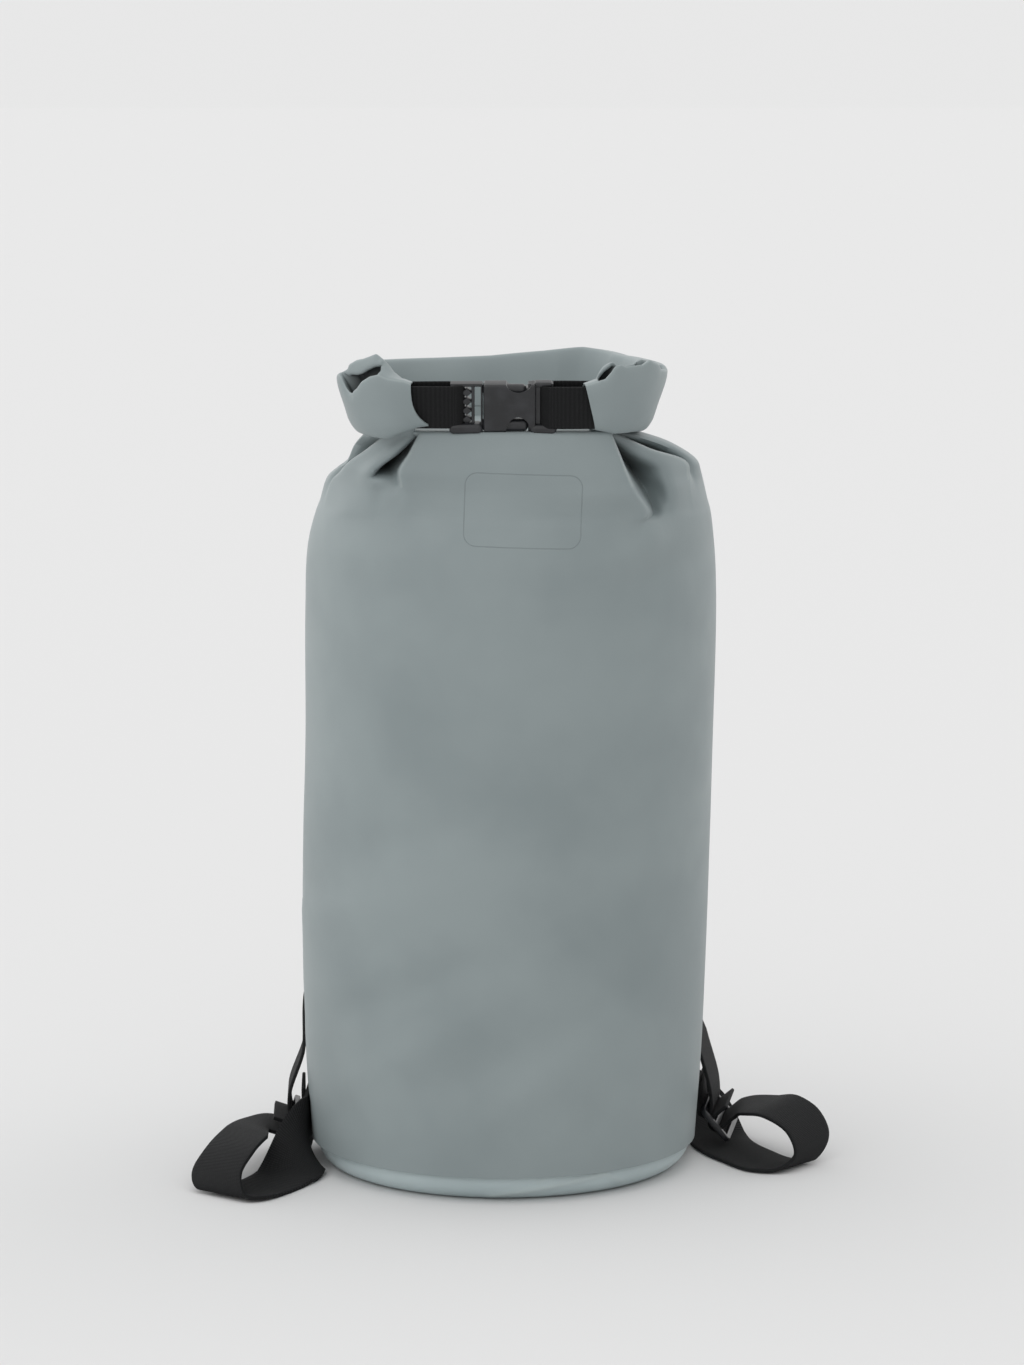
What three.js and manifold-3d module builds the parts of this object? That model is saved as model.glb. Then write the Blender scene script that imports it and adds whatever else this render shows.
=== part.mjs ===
import * as THREE from "three";
import Module from "manifold-3d";
import { mergeVertices } from "three/addons/utils/BufferGeometryUtils.js";

const wasm = await Module();
wasm.setup();

// Millimetres. X to the right, Y to the back, Z up, from the middle of the base.
const gap = 0.3;
const wall = 1.2;
const patchThickness = 1.2;

// The rolled mouth
const neckBottom = 436;
const neckTop = 446;
const neckHalf = 1.7;
const flare = 0.3;
const rollBottom = 438;
const rollHeight = 38;
const rollLayer = 2.4;
const rollPitch = 4;
const rollStart = neckTop - rollBottom + 0.7;

// Webbing
const closureWidth = 25;
const closureThickness = 1.6;
const strapWidth = 38;
const strapThickness = 2;

// Base panel
const baseThickness = 1.6;
const baseCorner = 14;
const baseRim = 34;
const baseClearance = 0.9;
const baseSides = 42;

// Levels of the tube. The crease columns say how far each side crease has come forward, in degrees.
const levels = [
  { z: 15, x: 0, y: 0, halfWidth: 112, halfDepth: 112, leftCrease: 0, rightCrease: 0 },
  { z: 60, x: 0, y: 0, halfWidth: 115, halfDepth: 113, leftCrease: 0, rightCrease: 0 },
  { z: 150, x: 1, y: 0, halfWidth: 118, halfDepth: 113, leftCrease: 0, rightCrease: 0 },
  { z: 260, x: 3.5, y: 0, halfWidth: 118, halfDepth: 113, leftCrease: 0, rightCrease: 0 },
  { z: 330, x: 4.5, y: 0, halfWidth: 118.4, halfDepth: 113, leftCrease: 0, rightCrease: 0 },
  { z: 365, x: 4.5, y: -1, halfWidth: 117, halfDepth: 111, leftCrease: 4, rightCrease: 4 },
  { z: 405, x: 6.5, y: -12, halfWidth: 107.5, halfDepth: 92, leftCrease: 22, rightCrease: 20 },
  { z: 424, x: 5.5, y: -36, halfWidth: 92, halfDepth: 64, leftCrease: 50, rightCrease: 48 },
];
const levelSteps = [1, 2, 2, 1, 2, 5, 4];

// The front cloth between the creases, share counted from the left.
// Each row's places are at the shoulder level and at the tuck under the roll.
const frontFolds = [
  { name: "left pocket side", share: 0.06, shoulder: [-85, -61], tuck: [-63, -73] },
  { name: "left pocket floor", share: 0.125, shoulder: [-74, -66], tuck: [-69, -56] },
  { name: "left panel side", share: 0.19, shoulder: [-67, -80], tuck: [-57, -74] },
  { name: "left panel edge", share: 0.25, shoulder: [-56, -96], tuck: [-50, -95] },
  { name: "front middle", share: 0.5, shoulder: [4, -105], tuck: [4, -101] },
  { name: "right panel edge", share: 0.75, shoulder: [65, -96], tuck: [58, -95] },
  { name: "right panel side", share: 0.81, shoulder: [75, -80], tuck: [65, -74] },
  { name: "right pocket floor", share: 0.875, shoulder: [82, -65], tuck: [77, -56] },
  { name: "right pocket side", share: 0.94, shoulder: [96, -60], tuck: [73, -73] },
];
const tuckSteps = 4;
const foldSteps = 3;
const panelSteps = 5;
const backSteps = 22;
const frontLag = 1.2;

// Plan of the neck, from the left tip round the back to the right tip
const neckPlan = [
  { name: "left tip", x: -50, y: -90 },
  { name: "left flap", x: -57, y: -90 },
  { name: "left bend", x: -67, y: -84 },
  { name: "left end", x: -72, y: -60 },
  { name: "left back corner", x: -62, y: -14 },
  { name: "back", x: -8, y: -8 },
  { name: "right back corner", x: 43, y: -13 },
  { name: "right end", x: 68, y: -58 },
  { name: "right bend", x: 65.5, y: -83 },
  { name: "right flap", x: 56, y: -90 },
  { name: "right tip", x: 49, y: -90 },
];

// Height of the roll's upper edge along the neck
const rollTops = [
  { share: 0, top: 468 },
  { share: 0.07, top: 471 },
  { share: 0.15, top: 463 },
  { share: 0.22, top: 467 },
  { share: 0.28, top: 476 },
  { share: 0.33, top: 471 },
  { share: 0.5, top: 474 },
  { share: 0.67, top: 478 },
  { share: 0.77, top: 474 },
  { share: 0.86, top: 473 },
  { share: 0.94, top: 475 },
  { share: 1, top: 467 },
];
const rollSteps = 28;

const cloth = new THREE.MeshStandardMaterial({ color: 0x8a9496, roughness: 0.55, metalness: 0 });
const webbing = new THREE.MeshStandardMaterial({ color: 0x26282a, roughness: 0.85, metalness: 0 });
const plastic = new THREE.MeshStandardMaterial({ color: 0x1a1b1c, roughness: 0.4, metalness: 0 });

const radians = THREE.MathUtils.degToRad;
const vec = (x, y, z) => new THREE.Vector3(x, y, z);

// Closed body from rows of equal loops: a tube of the loops, with a fan or a strip of caps at both ends.
function sweptSolid(loops, capTriangles) {
  const count = loops[0].length;
  const positions = loops.flat().flatMap((p) => [p.x, p.y, p.z]);
  const index = [];
  for (let row = 0; row + 1 < loops.length; row++)
    for (let i = 0; i < count; i++) {
      const next = (i + 1) % count;
      const a = row * count + i;
      const b = row * count + next;
      index.push(a, b, b + count, a, b + count, a + count);
    }
  const last = (loops.length - 1) * count;
  for (const [a, b, c] of capTriangles) {
    index.push(a, c, b);
    index.push(last + a, last + b, last + c);
  }
  const geometry = new THREE.BufferGeometry();
  geometry.setAttribute("position", new THREE.Float32BufferAttribute(positions, 3));
  geometry.setIndex(index);
  return geometry;
}

// A wall with an outer and an inner face, from rows of points that close on themselves.
function tubeWall(outer, inner) {
  const rows = outer.length;
  const count = outer[0].length;
  const positions = [...outer.flat(), ...inner.flat()].flatMap((p) => [p.x, p.y, p.z]);
  const shift = rows * count;
  const index = [];
  const quad = (a, b, c, d) => index.push(a, b, c, a, c, d);
  for (let i = 0; i < count; i++) {
    const next = (i + 1) % count;
    for (let row = 0; row + 1 < rows; row++) {
      const a = row * count + i;
      const b = row * count + next;
      quad(a, b, b + count, a + count);
      quad(shift + b, shift + a, shift + a + count, shift + b + count);
    }
    const top = (rows - 1) * count;
    quad(i, shift + i, shift + next, next);
    quad(top + i, top + next, shift + top + next, shift + top + i);
  }
  const geometry = new THREE.BufferGeometry();
  geometry.setAttribute("position", new THREE.Float32BufferAttribute(positions, 3));
  geometry.setIndex(index);
  return geometry;
}

const neckCurve = new THREE.CatmullRomCurve3(
  neckPlan.map((p) => vec(p.x, p.y, 0)),
  false,
  "centripetal",
);

// A place on the neck: share along it, distance outward, height.
function neckPoint(share, outward, z) {
  const at = neckCurve.getPointAt(share);
  const along = neckCurve.getTangentAt(share);
  const reach = outward + flare * (z - neckBottom);
  return vec(at.x - along.y * reach, at.y + along.x * reach, z);
}

function neckRingPoint(side, share, z) {
  if (share === 0 || share === 1) {
    const end = neckPoint(share, 0, z);
    const along = neckCurve.getTangentAt(share);
    return end.addScaledVector(along, share === 0 ? -neckHalf : neckHalf);
  }
  return neckPoint(share, side * neckHalf, z);
}

// Shares of the back cloth and of the front cloth at which each ring has its points.
const backShares = Array.from({ length: backSteps }, (_, i) => i / backSteps);
const foldShares = [0, ...frontFolds.map((fold) => fold.share), 1];
const frontShares = foldShares.slice(0, -1).flatMap((from, i) => {
  const to = foldShares[i + 1];
  const steps = to - from > 0.2 ? panelSteps : foldSteps;
  return Array.from({ length: steps }, (_, k) => from + ((to - from) * k) / steps);
});

function ellipsePoint(level, degrees) {
  const turn = radians(degrees);
  return vec(
    level.x + level.halfWidth * Math.cos(turn),
    level.y + level.halfDepth * Math.sin(turn),
    level.z,
  );
}

function backAngle(level, share) {
  const from = -level.rightCrease;
  const to = 180 + level.leftCrease;
  return from + (to - from) * share;
}

function frontAngle(level, share) {
  const from = 180 + level.leftCrease;
  const to = 360 - level.rightCrease;
  return from + (to - from) * share;
}

function plainRing(level) {
  return [
    ...backShares.map((share) => ellipsePoint(level, backAngle(level, share))),
    ...frontShares.map((share) => ellipsePoint(level, frontAngle(level, share))),
  ];
}

function foldedRing(level, column) {
  const points = [
    ellipsePoint(level, frontAngle(level, 0)),
    ...frontFolds.map((fold) => vec(fold[column][0], fold[column][1], level.z)),
    ellipsePoint(level, frontAngle(level, 1)),
  ];
  const curve = new THREE.CatmullRomCurve3(points, false, "centripetal");
  const at = (share) => {
    const i = foldShares.findLastIndex((from, k) => from <= share && k < points.length - 1);
    const part = (share - foldShares[i]) / (foldShares[i + 1] - foldShares[i]);
    return curve.getPoint((i + part) / (points.length - 1));
  };
  return [
    ...backShares.map((share) => ellipsePoint(level, backAngle(level, share))),
    ...frontShares.map(at),
  ];
}

function neckRing(z) {
  return [
    ...backShares.map((share) => neckRingPoint(1, 1 - share, z)),
    ...frontShares.map((share) => neckRingPoint(-1, share, z)),
  ];
}

// Rows of the tube's outer face, from the base seam to the top of the neck.
function bodyRows() {
  const rings = levels.map((level, i) => {
    if (i === levels.length - 1) return foldedRing(level, "tuck");
    if (i === levels.length - 2) return foldedRing(level, "shoulder");
    return plainRing(level);
  });
  const rows = levelSteps.flatMap((steps) => Array.from({ length: steps }, () => []));
  rows.push([]);
  for (let i = 0; i < rings[0].length; i++) {
    const curve = new THREE.CatmullRomCurve3(
      rings.map((ring) => ring[i]),
      false,
      "centripetal",
    );
    let row = 0;
    levelSteps.forEach((steps, k) => {
      for (let s = 0; s < steps; s++) rows[row++][i] = curve.getPoint((k + s / steps) / levelSteps.length);
    });
    rows[row][i] = rings[rings.length - 1][i];
  }
  const tuck = rings[rings.length - 1];
  const neck = neckRing(neckBottom);
  for (let step = 1; step <= tuckSteps; step++) {
    const t = step / tuckSteps;
    rows.push(
      tuck.map((from, i) => {
        const share = i < backSteps ? 0 : frontShares[i - backSteps];
        const lag = 1 + frontLag * Math.sin(Math.PI * share) ** 2;
        const to = neck[i];
        const part = t ** lag;
        return vec(
          from.x + (to.x - from.x) * part,
          from.y + (to.y - from.y) * part,
          from.z + (to.z - from.z) * t,
        );
      }),
    );
  }
  rows.push(neckRing(neckTop));
  return rows;
}

function offsetRows(rows, distance) {
  const count = rows[0].length;
  return rows.map((ring, row) =>
    ring.map((p, i) => {
      const around = rows[row][(i + 1) % count].clone().sub(rows[row][(i + count - 1) % count]);
      const up = rows[Math.min(row + 1, rows.length - 1)][i].clone().sub(rows[Math.max(row - 1, 0)][i]);
      const normal = around.cross(up).normalize();
      return p.clone().addScaledVector(normal, distance);
    }),
  );
}

function bodyGeometry() {
  const outer = bodyRows();
  return tubeWall(outer, offsetRows(outer, -wall));
}

// A cup turned on the axis and stretched to the tube's oval.
function baseGeometry() {
  const foot = levels[0];
  const radius = foot.halfDepth - wall - baseClearance;
  const corner = (centre, size) =>
    [0, 18, 36, 54, 72, 90].map((turn) => [
      centre + size * Math.sin(radians(turn)),
      baseCorner - size * Math.cos(radians(turn)),
    ]);
  const middle = radius - baseCorner;
  const outside = [[0, 0], ...corner(middle, baseCorner), [radius, baseRim]];
  const inside = [
    [radius - baseThickness, baseRim],
    ...corner(middle, baseCorner - baseThickness).reverse(),
    [0, baseThickness],
  ];
  const points = [...outside, ...inside].map(([r, z]) => new THREE.Vector2(r, z));
  const geometry = new THREE.LatheGeometry(points, baseSides);
  geometry.rotateX(Math.PI / 2);
  geometry.scale((foot.halfWidth - wall - baseClearance) / radius, 1, 1);
  return geometry;
}

// Outline of the spiral: distance outward and height above the roll's lower edge.
function spiralSection() {
  const arc = (x, z, size, high, from, to, steps) =>
    Array.from({ length: steps + 1 }, (_, i) => {
      const turn = radians(from + ((to - from) * i) / steps);
      return new THREE.Vector2(x + size * Math.cos(turn), z + high * Math.sin(turn));
    });
  const outer = 3 * rollPitch;
  const half = rollLayer / 2;
  const top = rollHeight - half;
  const line = [
    new THREE.Vector2(0, rollStart),
    new THREE.Vector2(0, 18),
    ...arc(outer / 2, top - 6, outer / 2, 6, 180, 0, 6),
    new THREE.Vector2(outer, 18),
    ...arc(2 * rollPitch, half + 4, rollPitch, 4, 0, -180, 4),
    new THREE.Vector2(rollPitch, 18),
    ...arc(1.5 * rollPitch, top - 8, rollPitch / 2, 2.5, 180, 0, 4),
    new THREE.Vector2(2 * rollPitch, 12),
  ];
  const sides = line.map((p, i) => {
    const before = line[Math.max(i - 1, 0)];
    const after = line[Math.min(i + 1, line.length - 1)];
    const across = after.clone().sub(before).normalize();
    const step = new THREE.Vector2(-across.y, across.x).multiplyScalar(half);
    return [p.clone().add(step), p.clone().sub(step)];
  });
  return { left: sides.map((s) => s[0]), right: sides.map((s) => s[1]) };
}

function rollTop(share) {
  const i = rollTops.findLastIndex((row, k) => row.share <= share && k < rollTops.length - 1);
  const from = rollTops[i];
  const to = rollTops[i + 1];
  const part = THREE.MathUtils.smoothstep(share, from.share, to.share);
  return from.top + (to.top - from.top) * part;
}

function rollGeometry() {
  const { left, right } = spiralSection();
  const outline = [...left, ...right.slice().reverse()];
  const count = left.length;
  const caps = [];
  for (let i = 0; i + 1 < count; i++) {
    const far = 2 * count - 1 - i;
    caps.push([i, i + 1, far - 1], [i, far - 1, far]);
  }
  const loops = Array.from({ length: rollSteps + 1 }, (_, step) => {
    const share = step / rollSteps;
    const stretch = (rollTop(share) - rollBottom - rollStart) / (rollHeight - rollStart);
    return outline.map((p) => {
      const high = p.y > rollStart ? rollStart + (p.y - rollStart) * stretch : p.y;
      return neckPoint(share, p.x, rollBottom + high);
    });
  });
  return sweptSolid(loops.reverse(), caps);
}

// Flat webbing along rows of places, each with the direction across the webbing.
function ribbon(rows, width, thickness, steps) {
  const path = new THREE.CatmullRomCurve3(
    rows.map((r) => vec(...r.at)),
    false,
    "centripetal",
  );
  const total = (rows.length - 1) * steps;
  const loops = Array.from({ length: total + 1 }, (_, i) => {
    const t = i / total;
    const k = Math.min(Math.floor(i / steps), rows.length - 2);
    const at = path.getPoint(t);
    const along = path.getTangent(t);
    const across = vec(...rows[k].across).lerp(vec(...rows[k + 1].across), i / steps - k);
    across.normalize();
    const out = along.clone().cross(across).normalize();
    return [
      [-1, -1],
      [1, -1],
      [1, 1],
      [-1, 1],
    ].map(([a, b]) =>
      at
        .clone()
        .addScaledVector(across, (a * width) / 2)
        .addScaledVector(out, (b * thickness) / 2),
    );
  });
  return sweptSolid(loops, [
    [0, 1, 2],
    [0, 2, 3],
  ]);
}

// Rows for webbing that comes in along a direction, goes round a bar and comes back on its other side.
function hairpin(bar, inward, side, across, radius, lead, tail, spread) {
  const place = (along, out) =>
    bar.clone().addScaledVector(inward, along).addScaledVector(side, out).toArray();
  const turn = radius * Math.SQRT1_2;
  return [
    place(-lead, radius),
    place(0, radius),
    place(turn, turn),
    place(radius, 0),
    place(turn, -turn),
    place(0, -radius),
    place(-tail, -radius - spread),
  ].map((at) => ({ at, across: across.toArray() }));
}

const solidOf = (geometry) => {
  const bare = geometry.clone();
  bare.deleteAttribute("normal");
  bare.deleteAttribute("uv");
  const merged = mergeVertices(bare, 1e-3);
  return new wasm.Manifold(
    new wasm.Mesh({
      numProp: 3,
      vertProperties: merged.attributes.position.array,
      triVerts: new Uint32Array(merged.index.array),
    }),
  );
};

const geometryOf = (solid) => {
  const mesh = solid.getMesh();
  const geometry = new THREE.BufferGeometry();
  geometry.setAttribute("position", new THREE.BufferAttribute(mesh.vertProperties, 3));
  geometry.setIndex(new THREE.BufferAttribute(mesh.triVerts, 1));
  return geometry;
};

function roundedRectangle(path, x0, x1, y0, y1, r) {
  path.moveTo(x0 + r, y0);
  path.lineTo(x1 - r, y0);
  path.quadraticCurveTo(x1, y0, x1, y0 + r);
  path.lineTo(x1, y1 - r);
  path.quadraticCurveTo(x1, y1, x1 - r, y1);
  path.lineTo(x0 + r, y1);
  path.quadraticCurveTo(x0, y1, x0, y1 - r);
  path.lineTo(x0, y0 + r);
  path.quadraticCurveTo(x0, y0, x0 + r, y0);
  return path;
}

// A plate drawn in X and Z, its thickness centred on Y.
function plate(shape, thickness, bevel) {
  const geometry = new THREE.ExtrudeGeometry(shape, {
    depth: thickness - 2 * bevel,
    bevelEnabled: bevel > 0,
    bevelSize: bevel,
    bevelThickness: bevel,
    bevelOffset: -bevel,
    bevelSegments: 1,
    curveSegments: 3,
  });
  geometry.translate(0, 0, -(thickness - 2 * bevel) / 2);
  geometry.rotateX(Math.PI / 2);
  return geometry;
}

// Side-release buckle, drawn flat with its middle at the middle of the housing's length
const buckle = {
  halfHeight: 15.5,
  joint: -11,
  housingEnd: 28,
  housingThickness: 9,
  waistFrom: 2,
  waistHalf: 9.5,
  waistTo: 15,
  flareAt: 20,
  slotFrom: 19,
  slotTo: 23.5,
  slotHalf: 13.2,
  frameEnd: -29,
  frameThickness: 5,
  tailThickness: 5,
  tailFrom: 14,
  barFrom: -20.5,
  barTo: -16.5,
  frameSlotFrom: -25,
  frameSlotTo: -12.8,
  socketEnd: 9.5,
  socketHalf: 13,
  prongHalf: 12.5,
  prongInner: 8,
  prongEnd: 8.5,
  tongueEnd: -6,
  guideHalf: 2,
  guideEnd: 4,
};

function buckleFemaleGeometry() {
  const b = buckle;
  const h = b.halfHeight;
  const shape = new THREE.Shape();
  shape.moveTo(b.joint, -h);
  shape.lineTo(b.waistFrom, -h);
  shape.bezierCurveTo(b.waistFrom + 5, -h, b.waistFrom + 4, -b.waistHalf, b.waistTo - 5, -b.waistHalf);
  shape.bezierCurveTo(b.waistTo, -b.waistHalf, b.waistTo, -h, b.flareAt, -h);
  shape.lineTo(b.housingEnd - 2, -h);
  shape.quadraticCurveTo(b.housingEnd, -h, b.housingEnd, -h + 2);
  shape.lineTo(b.housingEnd, h - 2);
  shape.quadraticCurveTo(b.housingEnd, h, b.housingEnd - 2, h);
  shape.lineTo(b.flareAt, h);
  shape.bezierCurveTo(b.waistTo, h, b.waistTo, b.waistHalf, b.waistTo - 5, b.waistHalf);
  shape.bezierCurveTo(b.waistFrom + 4, b.waistHalf, b.waistFrom + 5, h, b.waistFrom, h);
  shape.lineTo(b.joint, h);
  shape.holes.push(roundedRectangle(new THREE.Path(), b.slotFrom, b.slotTo, -b.slotHalf, b.slotHalf, 0.8));
  const whole = solidOf(plate(shape, b.housingThickness, 0.8));
  const spare = b.housingThickness;
  const shave = [-1, 1].map((face) => {
    const cut = new THREE.BoxGeometry(b.housingEnd, spare, 4 * h);
    return solidOf(cut.translate(b.tailFrom + b.housingEnd / 2, (face * (b.tailThickness + spare)) / 2, 0));
  });
  const housing = whole.subtract(shave[0]).subtract(shave[1]);
  const length = b.socketEnd - b.joint + 1;
  const socket = new THREE.BoxGeometry(length, b.frameThickness + 0.4, 2 * b.socketHalf);
  socket.translate(b.socketEnd - length / 2, 0, 0);
  return geometryOf(housing.subtract(solidOf(socket)));
}

function buckleMaleGeometry() {
  const b = buckle;
  const h = b.halfHeight;
  const end = b.joint - gap;
  const shape = new THREE.Shape();
  shape.moveTo(b.frameEnd, -h);
  shape.lineTo(end, -h);
  shape.lineTo(end, -b.prongHalf);
  shape.lineTo(b.prongEnd - 5, -b.prongHalf);
  shape.lineTo(b.prongEnd, -b.prongHalf + 3);
  shape.lineTo(b.prongEnd, -b.prongInner + 1);
  shape.lineTo(b.prongEnd - 3, -b.prongInner);
  shape.lineTo(b.tongueEnd, -b.prongInner);
  shape.lineTo(b.tongueEnd, -b.guideHalf);
  shape.lineTo(b.guideEnd, -b.guideHalf);
  shape.lineTo(b.guideEnd, b.guideHalf);
  shape.lineTo(b.tongueEnd, b.guideHalf);
  shape.lineTo(b.tongueEnd, b.prongInner);
  shape.lineTo(b.prongEnd - 3, b.prongInner);
  shape.lineTo(b.prongEnd, b.prongInner - 1);
  shape.lineTo(b.prongEnd, b.prongHalf - 3);
  shape.lineTo(b.prongEnd - 5, b.prongHalf);
  shape.lineTo(end, b.prongHalf);
  shape.lineTo(end, h);
  shape.lineTo(b.frameEnd, h);
  shape.lineTo(b.frameEnd, -h);
  const slots = [
    [b.frameSlotFrom, b.barFrom],
    [b.barTo, b.frameSlotTo],
  ];
  for (const [from, to] of slots)
    shape.holes.push(roundedRectangle(new THREE.Path(), from, to, -b.slotHalf, b.slotHalf, 0.6));
  return plate(shape, b.frameThickness, 0);
}

// The fastening leans with the roll: its middle, and each webbing's bar and the roll end that it comes from.
const fasteningPlace = vec(0, -101.8, 455);
const closureRuns = [
  { name: "left", barX: -18.5, barHalf: 3.3, startX: -49.4 },
  { name: "right", barX: 25.75, barHalf: 3.5, startX: 48.4 },
];

function closureRibbon({ barX, barHalf, startX }) {
  const inward = vec(Math.sign(barX - startX), 0, 0);
  const radius = barHalf + closureThickness / 2 + gap;
  const length = Math.abs(barX - startX);
  const rows = hairpin(
    vec(barX, 0, 0),
    inward,
    vec(0, -1, 0),
    vec(0, 0, 1),
    radius,
    length,
    length,
    0,
  );
  return ribbon(rows, closureWidth, closureThickness, 2);
}

const adjuster = { width: 47, height: 24.5, thickness: 3.5, bar: 3.5, slot: 7, side: 3.6 };

function adjusterGeometry() {
  const a = adjuster;
  const half = a.width / 2;
  const high = a.height / 2;
  const shape = roundedRectangle(new THREE.Shape(), -half, half, -high, high, 4);
  for (const from of [-high + a.bar, a.bar / 2])
    shape.holes.push(
      roundedRectangle(new THREE.Path(), -half + a.side, half - a.side, from, from + a.slot, 1),
    );
  return plate(shape, a.thickness, 0.6);
}

// Each side's adjuster leans beside the bag: its middle, the direction of its bars, and its upright.
const sides = [
  {
    name: "right",
    middle: vec(129.5, 36, 16.5),
    across: vec(-0.16, -0.985, -0.06).normalize(),
    upright: vec(-0.6, 0.2, 0.77),
    dropping: vec(0.06, -0.03, -0.99).normalize(),
    shoulder: [
      { at: [37, 126, 285], across: [0.95, -0.3, 0] },
      { at: [48, 139, 240], across: [0.92, -0.4, 0] },
      { at: [68, 137, 185], across: [0.85, -0.53, 0] },
      { at: [96, 110, 130], across: [0.6, -0.8, 0] },
      { at: [113, 72, 92], across: [0.25, -0.97, 0] },
      { at: [119, 46, 62], across: [-0.15, -0.98, -0.06] },
    ],
    lower: [
      { at: [153, 4, 30], across: [-0.6, -0.78, -0.1] },
      { at: [164, -13, 33], across: [-0.58, -0.8, -0.14] },
      { at: [176, -20, 26], across: [-0.55, -0.82, -0.14] },
      { at: [181, -24, 13], across: [-0.57, -0.81, -0.12] },
      { at: [172, -30, 3.2], across: [-0.65, -0.75, 0] },
      { at: [158, -27, 1.6], across: [-0.75, -0.66, 0] },
      { at: [143, -4, 1.5], across: [-0.8, -0.6, 0] },
      { at: [133, 18, 1.6], across: [-0.87, -0.48, 0] },
      { at: [127, 48, 1.9], across: [-0.97, -0.24, 0] },
      { at: [118, 76, 12], across: [-0.7, -0.5, -0.5] },
      { at: [98, 93, 22], across: [-0.2, -0.2, -0.95] },
    ],
    lowerSewn: [56, 63, 70],
    patch: [48, 76],
    shoulderSewn: 76.5,
  },
  {
    name: "left",
    middle: vec(-126, 8, 18.5),
    across: vec(0.03, -0.999, -0.02).normalize(),
    upright: vec(0.3, 0, 0.95),
    dropping: vec(0, -0.03, -1).normalize(),
    shoulder: [
      { at: [-28, 126, 285], across: [-0.95, -0.3, 0] },
      { at: [-42, 139, 240], across: [-0.92, -0.4, 0] },
      { at: [-66, 137, 185], across: [-0.85, -0.53, 0] },
      { at: [-97, 108, 130], across: [-0.6, -0.8, 0] },
      { at: [-115, 64, 92], across: [-0.2, -0.97, 0] },
      { at: [-119, 24, 62], across: [0.02, -1, 0] },
    ],
    lower: [
      { at: [-145, -18, 23], across: [0.38, -0.92, 0] },
      { at: [-149, -50, 27], across: [0.66, -0.75, 0.03] },
      { at: [-157.5, -75, 22.5], across: [0.74, -0.66, 0.1] },
      { at: [-164.5, -88, 12], across: [0.76, -0.63, 0.12] },
      { at: [-161.5, -98, 3.8], across: [0.78, -0.62, 0.02] },
      { at: [-151, -95, 2.3], across: [0.8, -0.6, 0] },
      { at: [-127, -57, 2.3], across: [0.86, -0.51, 0] },
      { at: [-118.5, -36, 12.2], across: [0.75, -0.42, -0.51] },
      { at: [-115.6, -18, 21.8], across: [0.03, -0.02, -1] },
      { at: [-115.4, 4, 23], across: [0, 0, -1] },
    ],
    lowerSewn: [162, 156, 150],
    patch: [144, 163],
    shoulderSewn: 103.5,
  },
];
const shoulderSewnHeights = [356, 338, 320];
const lowerSewnHeight = 26.5;

// Welded patches, by angle from the right side and by height
const backPatch = { angles: [68, 112], heights: [308, 362] };
const basePatchHeights = [16, 56];

const strapTurn = adjuster.bar * 0.72 + strapThickness / 2 + gap;

function uprightOf(side) {
  const up = side.upright.clone();
  return up.addScaledVector(side.across, -up.dot(side.across)).normalize();
}

function faceOf(side) {
  const face = uprightOf(side).cross(side.across);
  return face.multiplyScalar(Math.sign(face.x * side.middle.x));
}

const sewnReach = 3 * gap + patchThickness + strapThickness / 2;

function shoulderRibbon(side) {
  const up = uprightOf(side);
  const bar = side.middle.clone().addScaledVector(up, adjuster.bar + adjuster.slot);
  const turn = radians(side.shoulderSewn - 90 * Math.sign(side.middle.x));
  const sewn = shoulderSewnHeights.map((z) => ({
    at: backPlace(side.shoulderSewn, z, sewnReach + 0.3).toArray(),
    across: [Math.cos(turn), Math.sin(turn), 0],
  }));
  const out = side.dropping.clone().cross(side.across);
  out.multiplyScalar(Math.sign(out.x * side.middle.x));
  const rows = hairpin(bar, side.dropping, out, side.across, strapTurn, 12, 16, 0.3);
  return ribbon([...sewn, ...side.shoulder, ...rows], strapWidth, strapThickness, 2);
}

function lowerRibbon(side) {
  const face = faceOf(side);
  const rows = hairpin(
    side.middle,
    face.clone().negate(),
    uprightOf(side).negate(),
    side.across,
    strapTurn,
    12,
    12,
    0.6,
  );
  const sewn = side.lowerSewn.map((angle) => ({
    at: backPlace(angle, lowerSewnHeight, sewnReach + 2).toArray(),
    across: [0, 0, -1],
  }));
  return ribbon([...rows.reverse(), ...side.lower, ...sewn], strapWidth, strapThickness, 2);
}

// A place on the back of the tube: its angle from the right side and its height.
function backSurface(degrees, z) {
  const curve = new THREE.CatmullRomCurve3(
    levels.map((level) => ellipsePoint(level, backAngle(level, degrees / 180))),
    false,
    "centripetal",
  );
  let low = 0;
  let high = 1;
  for (let i = 0; i < 30; i++) {
    const middle = (low + high) / 2;
    if (curve.getPoint(middle).z < z) low = middle;
    else high = middle;
  }
  return curve.getPoint(low);
}

function backPlace(degrees, z, reach) {
  const out = vec(Math.cos(radians(degrees)), Math.sin(radians(degrees)), 0);
  return backSurface(degrees, z).addScaledVector(out, reach);
}

// A patch that follows the tube between two angles and two heights.
function patchGeometry(fromAngle, toAngle, bottom, top) {
  const steps = 10;
  const near = 2 * gap;
  const far = near + patchThickness;
  const loops = Array.from({ length: steps + 1 }, (_, i) => {
    const angle = fromAngle + ((toAngle - fromAngle) * i) / steps;
    const heights = [0, 0.33, 0.67, 1].map((part) => bottom + (top - bottom) * part);
    return [
      ...heights.map((z) => backPlace(angle, z, far)),
      ...heights.reverse().map((z) => backPlace(angle, z, near)),
    ];
  });
  return sweptSolid(loops.reverse(), [
    [0, 1, 6],
    [0, 6, 7],
    [1, 2, 5],
    [1, 5, 6],
    [2, 3, 4],
    [2, 4, 5],
  ]);
}

const dryBag = new THREE.Group();

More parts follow.
